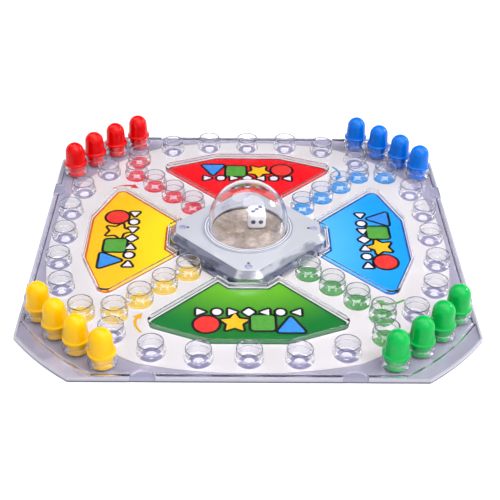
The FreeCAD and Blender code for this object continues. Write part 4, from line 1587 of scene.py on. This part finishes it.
@dataclass
class Die(Assembly):
    """White die with its painted pips."""

    turn: float = 3.0
    step: float = 2.45 * MM
    row_step: float = 3.05 * MM
    pip_radius: float = 1.5 * MM
    pip_depth: float = 0.3 * MM
    pip_rise: float = 0.03 * MM

    def build(self) -> None:
        """Dress the die and fill its pips with paint, the single one in its own colour."""
        self.dress(DIE, "die")
        self.paint("die_pips", NAVY_INK, (2, 3, 4, 5, 6))
        self.paint("die_single_pip", PIP_RED_INK, (1,))

    def paint(self, name: str, finish: Finish, counts: Sequence[int]) -> None:
        """Fill the pips of some faces.

        Args:
            name: Name of the new piece.
            finish: The paint.
            counts: The faces, by their counts.
        """
        low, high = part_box("die")
        middle = (low + high) / 2
        out = (high.z - low.z) / 2 + self.pip_rise - self.pip_depth / 2
        lie = Matrix.Rotation(math.radians(self.turn), 3, "Z")
        seeds, ways = [], []
        for count in counts:
            normal, across, up = (lie @ Vector(way) for way in DIE_FACES[count])
            rise = self.row_step if count == 6 else self.step
            for step_across, step_up in PIP_PLACES[count]:
                seeds.append(middle + normal * out + across * (step_across * self.step)
                             + up * (step_up * rise))
                ways.append(normal)
        sizes = {"Radius": self.pip_radius, "Thickness": self.pip_depth}
        self.add(self.discs.grow(name, seeds, sizes, finish, ways), "die", "die")


@dataclass
class Pegs(Assembly):
    """Sixteen pegs in their home sockets."""

    per_team: int = 4

    def build(self) -> None:
        """Dress every peg in its team's colour."""
        for team in Team:
            self.dress(PEG_FINISH[team], *(f"peg_{team.key}_{number + 1}"
                                           for number in range(self.per_team)))


# ------------------------------------------------------------------ studio


@dataclass(frozen=True)
class Lamp:
    """Round soft lamp that points at the board's middle."""

    name: str
    place: Place
    width: float
    power: float

    def hang(self) -> None:
        """Put the lamp in the scene."""
        data = bpy.data.lights.new(self.name, "AREA")
        data.shape = "DISK"
        data.size = self.width
        data.energy = self.power
        lamp = linked(self.name, data)
        lamp.location = self.place
        lamp.rotation_euler = (-Vector(self.place)).to_track_quat("-Z", "Y").to_euler()


@dataclass(frozen=True)
class Flag:
    """Card of an even tone, facing the board, that gloss and clear plastic show."""

    name: str
    place: Place
    width: float
    height: float
    tone: Colour

    def stand(self) -> None:
        """Put the card in the scene."""
        flag = flat_card(self.name, self.width, self.height, FlagTone(self.name, self.tone))
        flag.location = self.place
        flag.rotation_euler = (-Vector(self.place)).to_track_quat("Z", "Y").to_euler()


@dataclass
class Studio:
    """Pale floor, soft lamps and the camera."""

    lens: float = 72.70
    sensor: float = 36.0
    azimuth: float = -0.973
    elevation: float = 35.379
    roll: float = 0.951
    distance: float = 0.6460
    target: Place = (0.00122, -0.01294, 0.0026)
    floor_size: float = 6.0
    fill: float = 0.42
    lamps: tuple[Lamp, ...] = (
        Lamp("key_lamp", (0.30, -0.25, 1.1), width=1.3, power=11.0),
        Lamp("side_lamp", (0.85, -0.8, 0.85), width=1.0, power=3.2),
        Lamp("back_lamp", (-0.4, 0.5, 1.3), width=1.2, power=7.4),
        Lamp("spark_lamp", (1.1, 0.4, 0.6), width=0.34, power=3.6),
    )
    flags: tuple[Flag, ...] = (
        Flag("left_flag", (-0.95, -0.05, 0.52), 0.9, 0.5, ink(132, 136, 160)),
        Flag("right_flag", (1.0, -0.08, 0.5), 0.6, 0.42, ink(246, 247, 250)),
        Flag("back_flag", (0, 0.98, 0.70), 1.5, 0.75, ink(36, 36, 42)),
    )

    def build(self) -> None:
        """Make the floor, the world, the lamps, the flags and the camera."""
        flat_card("studio_floor", self.floor_size, self.floor_size,
                           FloorPaint("studio_floor"))
        self.make_world()
        for lamp in self.lamps:
            lamp.hang()
        for flag in self.flags:
            flag.stand()
        self.make_camera()
        bpy.context.scene.view_settings.view_transform = "Standard"

    def make_world(self) -> None:
        """Even light, and white where the eye, gloss or clear plastic meets it."""
        world = bpy.data.worlds.new("studio_world")
        bpy.context.scene.world = world
        web = ShaderWeb(world)
        light = web.node("ShaderNodeBackground", None, {
            "Color": WHITE, "Strength": self.fill})
        white = web.node("ShaderNodeBackground", None, {"Color": WHITE})
        web.finished(web.mixed(web.seen(), light.outputs[0], white.outputs[0]))

    def make_camera(self) -> None:
        """Camera in front of and over the board."""
        data = bpy.data.cameras.new("studio_camera")
        data.lens = self.lens
        data.sensor_width = self.sensor
        azimuth, elevation = math.radians(self.azimuth), math.radians(self.elevation)
        away = Vector((math.sin(azimuth) * math.cos(elevation),
                       -math.cos(azimuth) * math.cos(elevation), math.sin(elevation)))
        aim = (-away).to_track_quat("-Z", "Y").to_matrix().to_4x4()
        camera = linked("studio_camera", data)
        stand = Matrix.Translation(Vector(self.target) + away * self.distance)
        camera.matrix_world = stand @ aim @ Matrix.Rotation(math.radians(self.roll), 4, "Z")
        bpy.context.scene.camera = camera


def main() -> None:
    """Build the looks over the frame."""
    logging.basicConfig(level=logging.INFO, format="%(name)s: %(message)s")
    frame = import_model()
    discs = disc_tree()
    for kind in (Board, Windows, Popper, Die, Pegs):
        kind(frame, discs).build()
    Studio().build()


if __name__ == "__main__":
    main()
